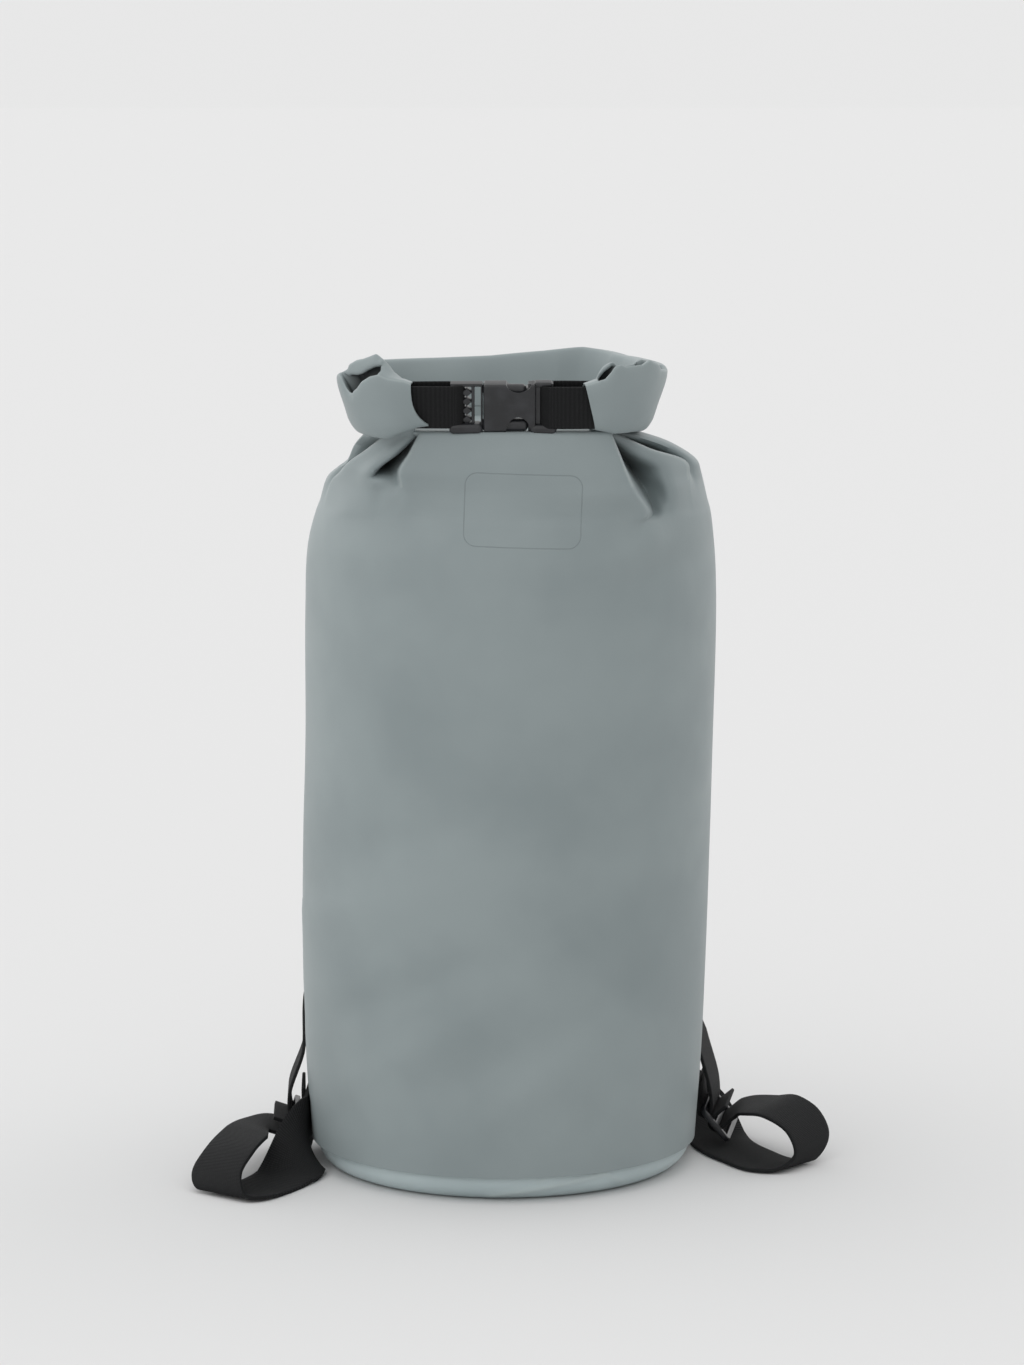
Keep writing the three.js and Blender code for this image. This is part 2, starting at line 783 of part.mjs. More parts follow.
function add(name, geometry, material, parent = dryBag) {
  const mesh = new THREE.Mesh(geometry, material);
  mesh.name = name;
  parent.add(mesh);
  return mesh;
}

add("bag_body", bodyGeometry(), cloth);
add("bag_base", baseGeometry(), cloth);
add("roll_closure", rollGeometry(), cloth);
add("back_patch", patchGeometry(...backPatch.angles, ...backPatch.heights), cloth);

const fastening = new THREE.Group();
fastening.position.copy(fasteningPlace);
fastening.rotation.x = Math.atan(flare);
dryBag.add(fastening);
add("buckle_female", buckleFemaleGeometry(), plastic, fastening);
add("buckle_male", buckleMaleGeometry(), plastic, fastening);
for (const run of closureRuns)
  add("closure_webbing_" + run.name, closureRibbon(run), webbing, fastening);

for (const side of sides) {
  add("shoulder_strap_" + side.name, shoulderRibbon(side), webbing);
  add("lower_strap_" + side.name, lowerRibbon(side), webbing);
  add("base_patch_" + side.name, patchGeometry(...side.patch, ...basePatchHeights), cloth);
  const frame = add("strap_adjuster_" + side.name, adjusterGeometry(), plastic);
  const basis = new THREE.Matrix4().makeBasis(
    side.across,
    faceOf(side).negate(),
    uprightOf(side),
  );
  if (basis.determinant() < 0) basis.makeBasis(side.across, faceOf(side), uprightOf(side));
  frame.applyMatrix4(basis.setPosition(side.middle));
}

export default dryBag;
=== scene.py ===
import math

import bpy
from mathutils import Matrix, Vector, noise


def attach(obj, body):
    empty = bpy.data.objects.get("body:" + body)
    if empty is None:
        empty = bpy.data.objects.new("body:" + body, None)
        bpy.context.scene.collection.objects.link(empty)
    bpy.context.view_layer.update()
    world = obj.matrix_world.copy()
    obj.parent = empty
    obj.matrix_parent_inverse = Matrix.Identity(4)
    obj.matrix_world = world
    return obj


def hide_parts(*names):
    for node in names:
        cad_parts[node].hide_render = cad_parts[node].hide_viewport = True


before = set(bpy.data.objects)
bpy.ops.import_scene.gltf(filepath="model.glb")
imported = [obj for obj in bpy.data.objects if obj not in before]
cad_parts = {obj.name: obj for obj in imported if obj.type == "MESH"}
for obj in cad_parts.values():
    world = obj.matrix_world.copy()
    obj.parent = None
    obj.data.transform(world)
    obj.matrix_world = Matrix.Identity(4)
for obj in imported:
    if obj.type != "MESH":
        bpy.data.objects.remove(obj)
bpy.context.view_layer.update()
mm = 0.001
weldReach = 0.02
print("frame loaded:", len(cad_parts), "solids")


# Camera at the photograph's height and pitch
cameraSetup = dict(place=(5, -2700, 673), pitch=8.2, lens=123.1, sensor=36, farthest=200)

camera = bpy.data.objects.new("camera", bpy.data.cameras.new("camera"))
bpy.context.scene.collection.objects.link(camera)
camera.location = Vector(cameraSetup["place"]) * mm
camera.rotation_euler = (math.radians(90 - cameraSetup["pitch"]), 0, 0)
camera.data.lens = cameraSetup["lens"]
camera.data.sensor_width = cameraSetup["sensor"]
camera.data.clip_end = cameraSetup["farthest"]
bpy.context.scene.camera = camera


# Small tools for the modelling below
def clamped(value):
    return min(max(value, 0), 1)


def table(columns, rows, plain=()):  # rows of named values; plain ends the rows that are cut short
    return [dict(zip(columns, (*row, *plain[len(plain) + len(row) - len(columns):]))) for row in rows]


def deselectAll():
    if bpy.context.mode != "OBJECT":
        bpy.ops.object.mode_set(mode="OBJECT")
    bpy.ops.object.select_all(action="DESELECT")


def pick(piece):
    deselectAll()
    piece.select_set(True)
    bpy.context.view_layer.objects.active = piece


def finishWith(piece, kind, **settings):
    pick(piece)
    modifier = piece.modifiers.new(kind.lower(), kind)
    for key, value in settings.items():
        setattr(modifier, key, value)
    bpy.ops.object.modifier_apply(modifier=modifier.name)
    return piece


def editAll(piece, step):  # runs an edit-mode operator on the whole mesh
    pick(piece)
    bpy.ops.object.mode_set(mode="EDIT")
    bpy.ops.mesh.select_all(action="SELECT")
    step()
    bpy.ops.object.mode_set(mode="OBJECT")


def outward():
    bpy.ops.mesh.normals_make_consistent(inside=False)


def weld():
    bpy.ops.mesh.remove_doubles(threshold=weldReach * mm)


def smooth(piece, degrees):
    pick(piece)
    bpy.ops.object.shade_smooth_by_angle(angle=math.radians(degrees))
    return piece


def rounded(piece, width, segments, sharp=math.radians(35)):  # rounds edges that turn by more
    settings = {"width": width * mm, "segments": segments, "limit_method": "ANGLE", "angle_limit": sharp}
    return finishWith(piece, "BEVEL", **settings)


def joined(name, pieces):
    deselectAll()
    for piece in pieces:
        piece.select_set(True)
    bpy.context.view_layer.objects.active = pieces[0]
    bpy.ops.object.join()
    pieces[0].name = name
    pieces[0].data.name = name
    return pieces[0]


def settle(piece, matrix=None):  # the place goes into the mesh, the object stays at the origin
    if matrix is not None:
        piece.matrix_world = matrix @ piece.matrix_world
    pick(piece)
    bpy.ops.object.transform_apply(location=True, rotation=True, scale=True)
    return piece


def ready(piece, material, slot, *nodes):
    piece.data.materials.clear()
    piece.data.materials.append(material)
    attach(piece, "root")
    if nodes:
        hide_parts(*nodes)


def splineAt(points, t):  # centripetal Catmull-Rom through all the points, t from 0 to 1
    last = len(points) - 1
    place = clamped(t) * last
    i = min(int(place), last - 1)
    share = place - i
    p1, p2 = points[i], points[i + 1]
    p0 = points[i - 1] if i > 0 else p1 * 2 - p2
    p3 = points[i + 2] if i + 2 <= last else p2 * 2 - p1
    d1 = max((p2 - p1).length, 1e-6) ** 0.5
    d0 = (p1 - p0).length ** 0.5
    d2 = (p3 - p2).length ** 0.5
    d0 = d0 if d0 > 1e-4 else d1
    d2 = d2 if d2 > 1e-4 else d1
    m1 = ((p1 - p0) / d0 - (p2 - p0) / (d0 + d1) + (p2 - p1) / d1) * d1
    m2 = ((p2 - p1) / d1 - (p3 - p1) / (d1 + d2) + (p3 - p2) / d2) * d1
    a = share * share
    b = a * share
    return p1 * (2 * b - 3 * a + 1) + m1 * (b - 2 * a + share) + p2 * (3 * a - 2 * b) + m2 * (b - a)


def splineRun(points, steps):  # steps gives how many stretches lie between each two points
    last = len(points) - 1
    run = [splineAt(points, (i + k / steps[i]) / last) for i in range(last) for k in range(steps[i])]
    return run + [points[-1].copy()]


def tableAt(rows, key, column, value):  # a table's column, straight between its rows
    for low, high in zip(rows, rows[1:]):
        if value <= high[key]:
            part = max((value - low[key]) / (high[key] - low[key]), 0)
            return low[column] + (high[column] - low[column]) * part
    return rows[-1][column]


def gridPiece(name, rows, ring=False):  # a grid laid over rows of points in millimetres
    deselectAll()
    wide = len(rows[0])
    bpy.ops.mesh.primitive_grid_add(x_subdivisions=wide - 1, y_subdivisions=len(rows) - 1, size=1)
    piece = bpy.context.object
    piece.name = name
    piece.data.name = name
    for vertex in piece.data.vertices:
        vertex.co = rows[vertex.index // wide][vertex.index % wide] * mm
    middle = rows[len(rows) // 2]
    across = sum((b - a).length for a, b in zip(middle, middle[1:]))
    along = sum((b[wide // 2] - a[wide // 2]).length for a, b in zip(rows, rows[1:]))
    for loop in piece.data.uv_layers.active.data:  # the map is in metres
        loop.uv = (loop.uv.x * across * mm, loop.uv.y * along * mm)
    if ring:
        editAll(piece, weld)
    return piece


def pointMarks(piece, name):  # a value at each point, which the cloth's paint reads
    return piece.data.attributes.new(name, "FLOAT", "POINT")


def walled(piece, wall, offset):  # cloth gets its thickness, inward or to both sides
    editAll(piece, outward)
    finishWith(piece, "SOLIDIFY", thickness=wall * mm, offset=offset)


# Materials
class Wire:
    def __init__(self, paint, socket):
        self.paint = paint
        self.socket = socket

    def to(self, operation, other=0):
        return self.paint.node("ShaderNodeMath", {"operation": operation}, {0: self, 1: other})

    def __add__(self, other):
        return self.to("ADD", other)

    __radd__ = __add__

    def __sub__(self, other):
        return self.to("SUBTRACT", other)

    def __mul__(self, other):
        return self.to("MULTIPLY", other)

    def ramp(self, low, high, start=0.0, end=1.0):
        settings = {"interpolation_type": "SMOOTHSTEP"}
        inputs = {"Value": self, "From Min": low, "From Max": high, "To Min": start, "To Max": end}
        return self.paint.node("ShaderNodeMapRange", settings, inputs)


class Paint:
    def __init__(self, material, shader="Principled BSDF"):
        self.material = material
        self.material.use_nodes = True
        self.tree = self.material.node_tree
        self.shader = self.tree.nodes[shader]

    def node(self, kind, settings=None, inputs=None, out=0):
        made = self.tree.nodes.new(kind)
        for key, value in (settings or {}).items():
            setattr(made, key, value)
        for key, value in (inputs or {}).items():
            self.feed(made.inputs[key], value)
        return Wire(self, made.outputs[out])

    def feed(self, socket, value):
        if isinstance(value, Wire):
            self.tree.links.new(value.socket, socket)
        else:
            socket.default_value = value

    def set(self, **inputs):
        for key, value in inputs.items():
            self.feed(self.shader.inputs[key.replace("_", " ")], value)

    def place(self):
        return self.node("ShaderNodeTexCoord", out="Object")

    def parts(self, vector):
        split = self.node("ShaderNodeSeparateXYZ", inputs={0: vector}).socket.node
        return [Wire(self, split.outputs[i]) for i in range(3)]

    def speckle(self, vector, scale, detail):
        inputs = {"Vector": vector, "Scale": scale, "Detail": detail}
        return self.node("ShaderNodeTexNoise", inputs=inputs)

    def blend(self, factor, first, second):
        settings = {"data_type": "RGBA"}
        made = self.node("ShaderNodeMix", settings, {0: factor}, out=2)
        self.feed(made.socket.node.inputs[6], first)
        self.feed(made.socket.node.inputs[7], second)
        return made

    def bump(self, height, distance, strength=1.0):
        inputs = {"Height": height, "Distance": distance, "Strength": strength}
        return self.node("ShaderNodeBump", inputs=inputs)


# Cloth colours: "inside" is painted shade, a near-black that stands in for the shadow deep in the pockets and
# slots
clothLook = dict(
    deep=(0.222, 0.262, 0.268, 1), light=(0.262, 0.305, 0.31, 1), worn=(0.42, 0.47, 0.46, 1),
    inside=(0.022, 0.026, 0.027, 1), pressed=(0.15, 0.18, 0.185, 1), wear=0.8, roughness=0.5, mottle=0.16,
    specular=0.42, sheen=0.05, patches=11, blotches=46, grain=900, pebble=252, relief=0.12, baseBounceLight=1.85,
)
panelFrame = dict(
    middle=(11.2, 396), half=(32.8, 20.4), corner=7, turn=2, line=0.45, front=(-50, -60), deep=4,
    shade=0.5,
)


def clothPaint(name, framed, lift=1.0):
    paint = Paint(bpy.data.materials.new(name))
    look = clothLook
    place = paint.place()
    broad = paint.speckle(place, look["patches"], 3)
    patchy = paint.speckle(place, look["blotches"], 4)
    deep, light = [(*[c * lift for c in look[tone][:3]], 1) for tone in ("deep", "light")]
    colour = paint.blend(broad.ramp(0.3, 0.7), deep, light)
    edge = paint.node("ShaderNodeAttribute", {"attribute_name": "edge"}, out="Fac")
    colour = paint.blend(edge * look["wear"], colour, look["worn"])
    # the "inside" mark paints shade: it blends the cloth towards near-black where the pockets and the roll's
    # slots lie in shadow
    inside = paint.node("ShaderNodeAttribute", {"attribute_name": "inside"}, out="Fac")
    colour = paint.blend(inside, colour, look["inside"])
    grain = paint.speckle(place, look["grain"], 2)
    pebble = paint.speckle(place, look["pebble"], 2)
    height = grain * 0.6 + pebble * 0.4
    rough = look["roughness"] + (patchy - 0.5) * look["mottle"]
    if framed:
        line = frameLine(paint, place)
        height = height - line * panelFrame["deep"]
        colour = paint.blend(line * panelFrame["shade"], colour, look["pressed"])
    paint.set(Base_Color=colour, Roughness=rough, Normal=paint.bump(height, look["relief"] * mm, 0.5))
    paint.set(Specular_IOR_Level=look["specular"], Sheen_Weight=look["sheen"])
    return paint.material


def frameLine(paint, place):  # a pressed outline on the front panel
    look = panelFrame
    x, y, z = paint.parts(place)
    turn = math.radians(look["turn"])
    across = x - look["middle"][0] * mm
    up = z - look["middle"][1] * mm
    u = (across * math.cos(turn) - up * math.sin(turn)).to("ABSOLUTE")
    v = (across * math.sin(turn) + up * math.cos(turn)).to("ABSOLUTE")
    overX = (u - (look["half"][0] - look["corner"]) * mm).to("MAXIMUM")
    overZ = (v - (look["half"][1] - look["corner"]) * mm).to("MAXIMUM")
    away = ((overX * overX + overZ * overZ).to("SQRT") - look["corner"] * mm).to("ABSOLUTE")
    line = away.ramp(0, look["line"] * mm, 1, 0)
    return line * y.ramp(look["front"][0] * mm, look["front"][1] * mm)


webbingLook = dict(
    dark=(0.004, 0.0042, 0.0046, 1), rib=(0.0165, 0.0173, 0.0182, 1), warp=1.5, wobble=(160, 1.2),
    fuzz=700, relief=0.4, roughness=0.72, specular=0.25, strap=dict(pitch=1.0, lift=0.75),
    closure=dict(pitch=0.95, lift=0.35),
)


def webbingPaint(name, pitch, lift):
    paint = Paint(bpy.data.materials.new(name))
    look = webbingLook
    u, v, _ = paint.parts(paint.node("ShaderNodeTexCoord", out="UV"))
    wobble = paint.speckle(paint.place(), look["wobble"][0], 2)
    ribs = (v * (2 * math.pi / (pitch * mm)) + wobble * look["wobble"][1]).to("SINE") * 0.5 + 0.5
    warps = (u * (2 * math.pi / (look["warp"] * mm))).to("SINE") * 0.5 + 0.5
    weave = ribs * 0.7 + ribs * warps * 0.3
    fuzz = paint.speckle(paint.place(), look["fuzz"], 3)
    colour = paint.blend(weave * lift + fuzz * 0.25, look["dark"], look["rib"])
    normal = paint.bump(weave + fuzz * 0.3, look["relief"] * mm, 0.6)
    paint.set(Base_Color=colour, Roughness=look["roughness"] + fuzz * 0.2, Normal=normal)
    paint.set(Specular_IOR_Level=look["specular"])
    return paint.material


plasticLook = dict(
    dark=(0.0098, 0.0103, 0.012, 1), rubbed=(0.022, 0.023, 0.0265, 1), roughness=0.36, grain=1500,
    rubs=120, relief=0.06,
)


def plasticPaint(name):
    paint = Paint(bpy.data.materials.new(name))
    look = plasticLook
    place = paint.place()
    fine = paint.speckle(place, look["grain"], 2)
    broad = paint.speckle(place, look["rubs"], 3)
    colour = paint.blend(broad.ramp(0.35, 0.75), look["dark"], look["rubbed"])
    rough = look["roughness"] + (broad - 0.5) * 0.2
    paint.set(Base_Color=colour, Roughness=rough, Normal=paint.bump(fine, look["relief"] * mm, 0.5))
    return paint.material


threadLook = dict(dark=(0.02, 0.021, 0.022, 1), light=(0.075, 0.078, 0.08, 1), fuzz=900, relief=0.2)


def threadPaint(name):
    paint = Paint(bpy.data.materials.new(name))
    look = threadLook
    fuzz = paint.speckle(paint.place(), look["fuzz"], 2)
    colour = paint.blend(fuzz, look["dark"], look["light"])
    paint.set(Base_Color=colour, Roughness=0.6 + fuzz * 0.2, Normal=paint.bump(fuzz, look["relief"] * mm))
    return paint.material


bodyCloth = clothPaint("body cloth", True)
plainCloth = clothPaint("coated cloth", False)
# the base cloth is painted lighter, a painted stand-in for light bounced up from the floor
baseClothBounceLit = clothPaint("base cloth", False, clothLook["baseBounceLight"])
strapWebbing = webbingPaint("strap webbing", **webbingLook["strap"])
closureWebbing = webbingPaint("closure webbing", **webbingLook["closure"])
blackPlastic = plasticPaint("black plastic")
blackThread = threadPaint("black thread")
print("materials made")


# The tube: plain levels up to the shoulder, in millimetres
tubeLevels = table(("z", "x", "y", "halfWidth", "halfDepth", "steps"), [
    (15, 0, 0, 112, 112, 8),
    (60, 0, 0, 115, 113, 16),
    (150, 1, 0, 118, 113, 18),
    (260, 3.5, 0, 118, 113, 12),
    (330, 4.5, 0, 118.4, 113, 8),
    (365, 4.5, -1, 117, 111, 8),
    (386, 5.7, -5.8, 113, 102.6, 5),
])
# The back of the tube above that, between its two hoods, whose angles are given
gatherLevels = table(("z", "x", "y", "halfWidth", "halfDepth", "right", "left", "steps"), [
    (392, 6, -8, 111, 99, -11, 188, 8),
    (405, 6.5, -12, 107.5, 92, -11, 188, 5),
    (411, 8.6, -21, 103.8, 88.4, -7, 186, 6),
    (417, 10.8, -32, 99.3, 84, -3, 184, 8),
    (427, 6.2, -43, 90, 61, 1, 182, 9),
])
# The front cloth from hood to hood: each fold's angle on the tube, steps to the next, place at the brim,
# side and share of the pressed neck, and place at each gather level, where none means on the oval
gatherFolds = table(("name", "turn", "steps", "brim", "side", "share", 392, 405, 417, 427), [
    ("left hood", 188, 4, (-72, -56), 1, 0.14, None, None, None, None),
    ("left slot", 192, 5, (-66, -78), 1, 0.09, None, (-97, -30), (-78, -40), (-67, -54)),
    ("left lip back", 194.5, 3, (-65, -85), 1, 0.06, None, (-97.6, -34), (-87, -51), (-75, -70.5)),
    ("left lip", 196, 6, (-64, -87.5), 1, 0.05, None, (-97.2, -37), (-88, -55.5), (-76, -74.5)),
    ("left shoulder", 211, 6, (-56, -90.5), 1, 0.02, (-88, -63), (-85, -64), (-80, -72), (-69, -83)),
    ("left ridge", 222, 6, (-50, -91.5), 1, 0, (-77, -76), (-75, -78.5), (-73, -84), (-61, -89)),
    ("left pocket", 228, 6, (-48, -88), -1, 0.03, (-70, -81), (-68.5, -82), (-68, -52), (-57, -56)),
    ("left side", 231, 5, (-46.5, -92), -1, 0.06, (-66, -84), (-62, -86.5), (-58.5, -80), (-51.5, -86)),
    ("left edge", 235, 3, (-45.5, -97), -1, 0.1, (-60, -88.5), (-56, -91.5), (-57, -95), (-51.3, -97)),
    ("left front", 237.5, 24, (-42.5, -98), -1, 0.12, (-55, -91.5), (-52, -94), (-53.5, -97.2), (-48, -98.5)),
    ("front middle", 269, 26, (4, -102), -1, 0.5, (4, -107), (4, -106), (4, -106.5), (4, -105.5)),
    ("right front", 306, 3, (56, -98.2), -1, 0.86, (76, -88.5), (69, -96), (64, -98.2), (60.5, -98.8)),
    ("right edge", 308, 5, (59.5, -97), -1, 0.88, (80, -86), (73, -94.5), (67.8, -96.4), (64, -97.2)),
    ("right side", 310.5, 6, (58.5, -92), -1, 0.92, (82.5, -78), (75, -81), (68.2, -82), (63, -86)),
    ("right pocket", 314, 7, (57.5, -88.5), -1, 0.95, (85, -66), (79, -57), (71, -54), (64, -61)),
    ("right pocket slope", 318, 6, (58.5, -89.5), -1, 0.97, (91, -69.5), (86.5, -62), (79, -61), (68, -71)),
    ("right ridge", 323, 6, (60, -91), -1, 0.985, (96, -67), (94, -69), (89, -69.5), (73, -81)),
    ("right lip", 335, 3, (62.5, -90.5), 1, 1, None, (105, -52), (103.5, -53), (82.5, -75)),
    ("right lip back", 337, 6, (63, -87.5), 1, 0.97, None, (106, -49), (104.3, -50.5), (82, -71)),
    ("right slot", 341, 6, (63.5, -82), 1, 0.93, None, (108, -42), (103.4, -46.5), (75, -46)),
    ("right hood edge", 345, 5, (66, -74), 1, 0.9, None, (110.3, -36), (107.4, -44), (93, -52)),
    ("right hood", 349, 0, (70, -60), 1, 0.86, None, None, None, None),
])
# Where a pocket's mouth is already shut between two of those levels; the other folds lie halfway there
pocketMouths = {
    "z": 411, "below": 405, "above": 417,
    "left pocket": (-69.5, -83.5), "left ridge": (-75.5, -80),
}
for fold in gatherFolds:
    ends = [fold[pocketMouths["below"]], fold[pocketMouths["above"]]]
    halfway = None if None in ends else tuple((a + b) / 2 for a, b in zip(*ends))
    fold[pocketMouths["z"]] = pocketMouths.get(fold["name"], halfway)
tubeShape = dict(
    wall=1.2, backSteps=64, guideTurn=6, brim=437, brimReach=3, brimSteps=12, frontLift=1.6,
    frontFrom=-94, frontFade=3, ledgeCrown=1.2, ledgeSpan=60, neckBottom=440, neckTop=446, neckHalf=1.7,
    flare=0.3, flareFrom=436,
)
neckPlan = [
    (-50, -91), (-57, -90), (-67, -84), (-72, -60), (-62, -14), (-8, -8),
    (43, -13), (68, -58), (65.5, -83), (56, -90), (49, -91),
]
neckSteps = 24
neckStraight = 12  # as many steps of the curve at each end give way to a straight line
neckLine = [Vector((x, y, 0)) for x, y in neckPlan]
neckTable = splineRun(neckLine, [neckSteps] * (len(neckLine) - 1))
neckLengths = [0.0]
for before, after in zip(neckTable, neckTable[1:]):
    neckLengths.append(neckLengths[-1] + (after - before).length)
neckWays = []
for before, after in zip(neckTable[:1] + neckTable, neckTable[1:] + neckTable[-1:]):
    neckWays.append((after - before).normalized())
foldSteps = [fold["steps"] for fold in gatherFolds[:-1]]
neckLeft = gatherFolds[0]["share"]
neckRight = gatherFolds[-1]["share"]


def neckPoint(share, outwardBy, z):
    goal = share * neckLengths[-1]
    i = neckStraight
    while i < len(neckLengths) - 2 - neckStraight and neckLengths[i + 1] < goal:
        i += 1
    part = (goal - neckLengths[i]) / (neckLengths[i + 1] - neckLengths[i])
    at = neckTable[i] + (neckTable[i + 1] - neckTable[i]) * part
    along = neckWays[i].lerp(neckWays[i + 1], clamped(part)).normalized()
    reach = outwardBy + tubeShape["flare"] * (z - tubeShape["flareFrom"])
    return Vector((at.x - along.y * reach, at.y + along.x * reach, z))


def ovalPoint(level, turn):
    angle = math.radians(turn)
    x = level["x"] + level["halfWidth"] * math.cos(angle)
    y = level["y"] + level["halfDepth"] * math.sin(angle)
    return Vector((x, y, level["z"]))


def tubeRing(level):
    backSteps = tubeShape["backSteps"]
    right = level.get("right", gatherFolds[-1]["turn"] - 360)
    left = level.get("left", gatherFolds[0]["turn"])
    back = [ovalPoint(level, right + (left - right) * i / backSteps) for i in range(backSteps)]
    if "right" not in level:
        turns = [Vector((fold["turn"], 0, 0)) for fold in gatherFolds]
        return back + [ovalPoint(level, turn.x) for turn in splineRun(turns, foldSteps)]
    places = []
    for fold in gatherFolds:
        spot = fold[level["z"]]
        edge = left if fold is gatherFolds[0] else right if fold is gatherFolds[-1] else fold["turn"]
        places.append(ovalPoint(level, edge) if spot is None else Vector((*spot, level["z"])))
    beyond = tubeShape["guideTurn"]
    guide = [ovalPoint(level, left - beyond)] + places + [ovalPoint(level, right + beyond)]
    return back + splineRun(guide, [1] + foldSteps + [1])[1:-1]


def neckBack(reach, z):  # the back of the neck, from the right hood to the left one
    steps = tubeShape["backSteps"]
    return [neckPoint(neckRight + (neckLeft - neckRight) * i / steps, reach, z) for i in range(steps)]


def brimRing(z):
    reach = tubeShape["brimReach"]
    places = [Vector((*fold["brim"], z)) for fold in gatherFolds]
    for spot in places:  # the front panel stands a little higher, up to the closure webbing
        ahead = clamped((tubeShape["frontFrom"] - spot.y) / tubeShape["frontFade"])
        spot.z += tubeShape["frontLift"] * ahead
    places[0] = neckPoint(neckLeft, reach, z)
    places[-1] = neckPoint(neckRight, reach, z)
    return neckBack(reach, z) + splineRun(places, foldSteps)


def neckRing(z):
    half = tubeShape["neckHalf"]
    ring = neckBack(half, z)
    for low, high in zip(gatherFolds, gatherFolds[1:]):
        for k in range(low["steps"]):
            part = k / low["steps"]
            side = low["side"] + (high["side"] - low["side"]) * part
            share = low["share"] + (high["share"] - low["share"]) * part
            ring.append(neckPoint(share, side * half, z))
    return ring + [neckPoint(neckRight, half, z)]


# Soft ripples that the stuffing leaves in the front: middle, slope, size and depth
ripples = table(("x", "z", "slope", "long", "wide", "deep"), [
    (-60, 118, 27, 75, 13, -1.5),
    (-42, 92, 33, 70, 14, 1.3),
    (-8, 82, 30, 60, 13, -1.2),
    (12, 62, 36, 70, 14, 1.1),
    (30, 92, 34, 60, 15, -0.9),
    (-62, 205, 18, 60, 14, -1.0),
    (-70, 168, 20, 60, 15, 1.0),
    (86, 357, 24, 34, 13, -2.0),
    (78, 376, 24, 34, 11, 0.9),
    (-74, 352, -14, 40, 16, -1.0),
    (70, 60, 70, 80, 16, 1.2),
    (50, 40, 60, 50, 12, -0.9),
    (-96, 62, 105, 60, 9, -1.1),
    (-112, 168, 30, 26, 10, -1.4),
])
slackShape = dict(deep=0.6, scale=95, shift=(3.1, 0.4, 7.7))
rippleFade = dict(low=18, lowOver=25, high=432, highOver=40, axis=3)


def slackAt(spot, deep, scale, shift):  # how far loose cloth stands out or in
    return deep * noise.noise(spot / scale + Vector(shift))


def rippleAt(spot):
    push = slackAt(spot, **slackShape)
    if spot.y > 0:
        return push
    for ripple in ripples:
        slope = math.radians(ripple["slope"])
        dx = spot.x - ripple["x"]
        dz = spot.z - ripple["z"]
        along = (dx * math.cos(slope) + dz * math.sin(slope)) / ripple["long"]
        across = (dz * math.cos(slope) - dx * math.sin(slope)) / ripple["wide"]
        push += ripple["deep"] * math.exp(-along * along * 2 - across * across * 2)
    return push


def makeBody():
    rings = [tubeRing(level) for level in tubeLevels + gatherLevels]
    rings.append(brimRing(tubeShape["brim"]))
    steps = [level["steps"] for level in tubeLevels + gatherLevels]
    columns = [splineRun([ring[i] for ring in rings], steps) for i in range(len(rings[0]))]
    rows = [list(row) for row in zip(*columns)]
    f = rippleFade
    for row in rows:  # ripples fade out at the base seam and towards the roll
        z = row[0].z
        fade = clamped((z - f["low"]) / f["lowOver"]) * clamped((f["high"] - z) / f["highOver"])
        axis = Vector((f["axis"], 0, z))
        for spot in row:
            out = (spot - axis).normalized()
            spot += out * (rippleAt(spot) * fade)
    brim = rows[-1]
    neck = neckRing(tubeShape["neckBottom"])
    for k in range(1, tubeShape["brimSteps"] + 1):
        part = k / tubeShape["brimSteps"]
        crown = tubeShape["ledgeCrown"] * math.sin(math.pi * part)
        row = []
        for a, b in zip(brim, neck):
            spot = a.lerp(b, part)
            spot.z += crown * min((b - a).length / tubeShape["ledgeSpan"], 1)
            row.append(spot)
        rows.append(row)
    rows.append(neckRing(tubeShape["neckTop"]))
    body = gridPiece("bagBody", rows, ring=True)
    markFolds(body, rows)
    walled(body, tubeShape["wall"], -1)
    ready(smooth(body, 70), bodyCloth, "coated_cloth", "bag_body")


# Marks along the folds: pale worn cloth on the lips, painted shade (a near-black colour) deep in the pockets
foldMarks = [
    dict(mark="edge", z=(408, 438), reach=1.2, full=0.3,
     folds=("left lip", "right lip", "left edge", "right edge")),
    # painted shade deep in the two pockets
    dict(mark="inside", z=(416, 434), reach=19, full=0.85, folds=("left pocket", "right pocket")),
]
marksFrom = 390


def markFolds(body, rows):
    for mark in foldMarks:
        values = pointMarks(body, mark["mark"]).data
        low, high = mark["z"]
        start = tubeShape["backSteps"]
        spots = []
        for fold in gatherFolds[:-1]:
            if fold["name"] in mark["folds"]:
                spots += [row[start] * mm for row in rows if low < row[start].z < high]
            start += fold["steps"]
        for vertex in body.data.vertices:
            if vertex.co.z > marksFrom * mm:
                near = min((vertex.co - spot).length for spot in spots)
                values[vertex.index].value = max(0, 1 - near / (mark["reach"] * mm)) * mark["full"]


makeBody()
print("body made")


# The base cup under the tube's lower edge
baseShape = dict(
    radius=109.9, corner=14, walls=(18, 24, 34), wall=1.6, sides=360, flatSteps=6, cornerSteps=14,
    sag=dict(deep=0.5, around=2.2, up=30, top=18, fade=6),
    creases=dict(front=-40, top=17, fade=3, wear=0.5),
)
baseCreases = table(("from", "to", "deep", "wide"), [
    ((-8, 2.5), (58, 13.5), 1.1, 2.6),
    ((58, 13.5), (68, 6), 0.8, 2.2),
    ((20, 12), (26, 14), 0.7, 2.4),
])


def creaseAt(spot):
    push = 0
    if spot.y > baseShape["creases"]["front"]:
        return push
    for crease in baseCreases:
        a = Vector(crease["from"])
        b = Vector(crease["to"])
        p = Vector((spot.x, spot.z))
        part = clamped((p - a).dot(b - a) / (b - a).length_squared)
        away = (p - a.lerp(b, part)).length / crease["wide"]
        push += crease["deep"] * max(0, 1 - away)
    return push


def wallShare(z, top, fade):  # 0 at the floor and at the top of the band, 1 between
    return min(z / fade, 1) * clamped((top - z) / fade)


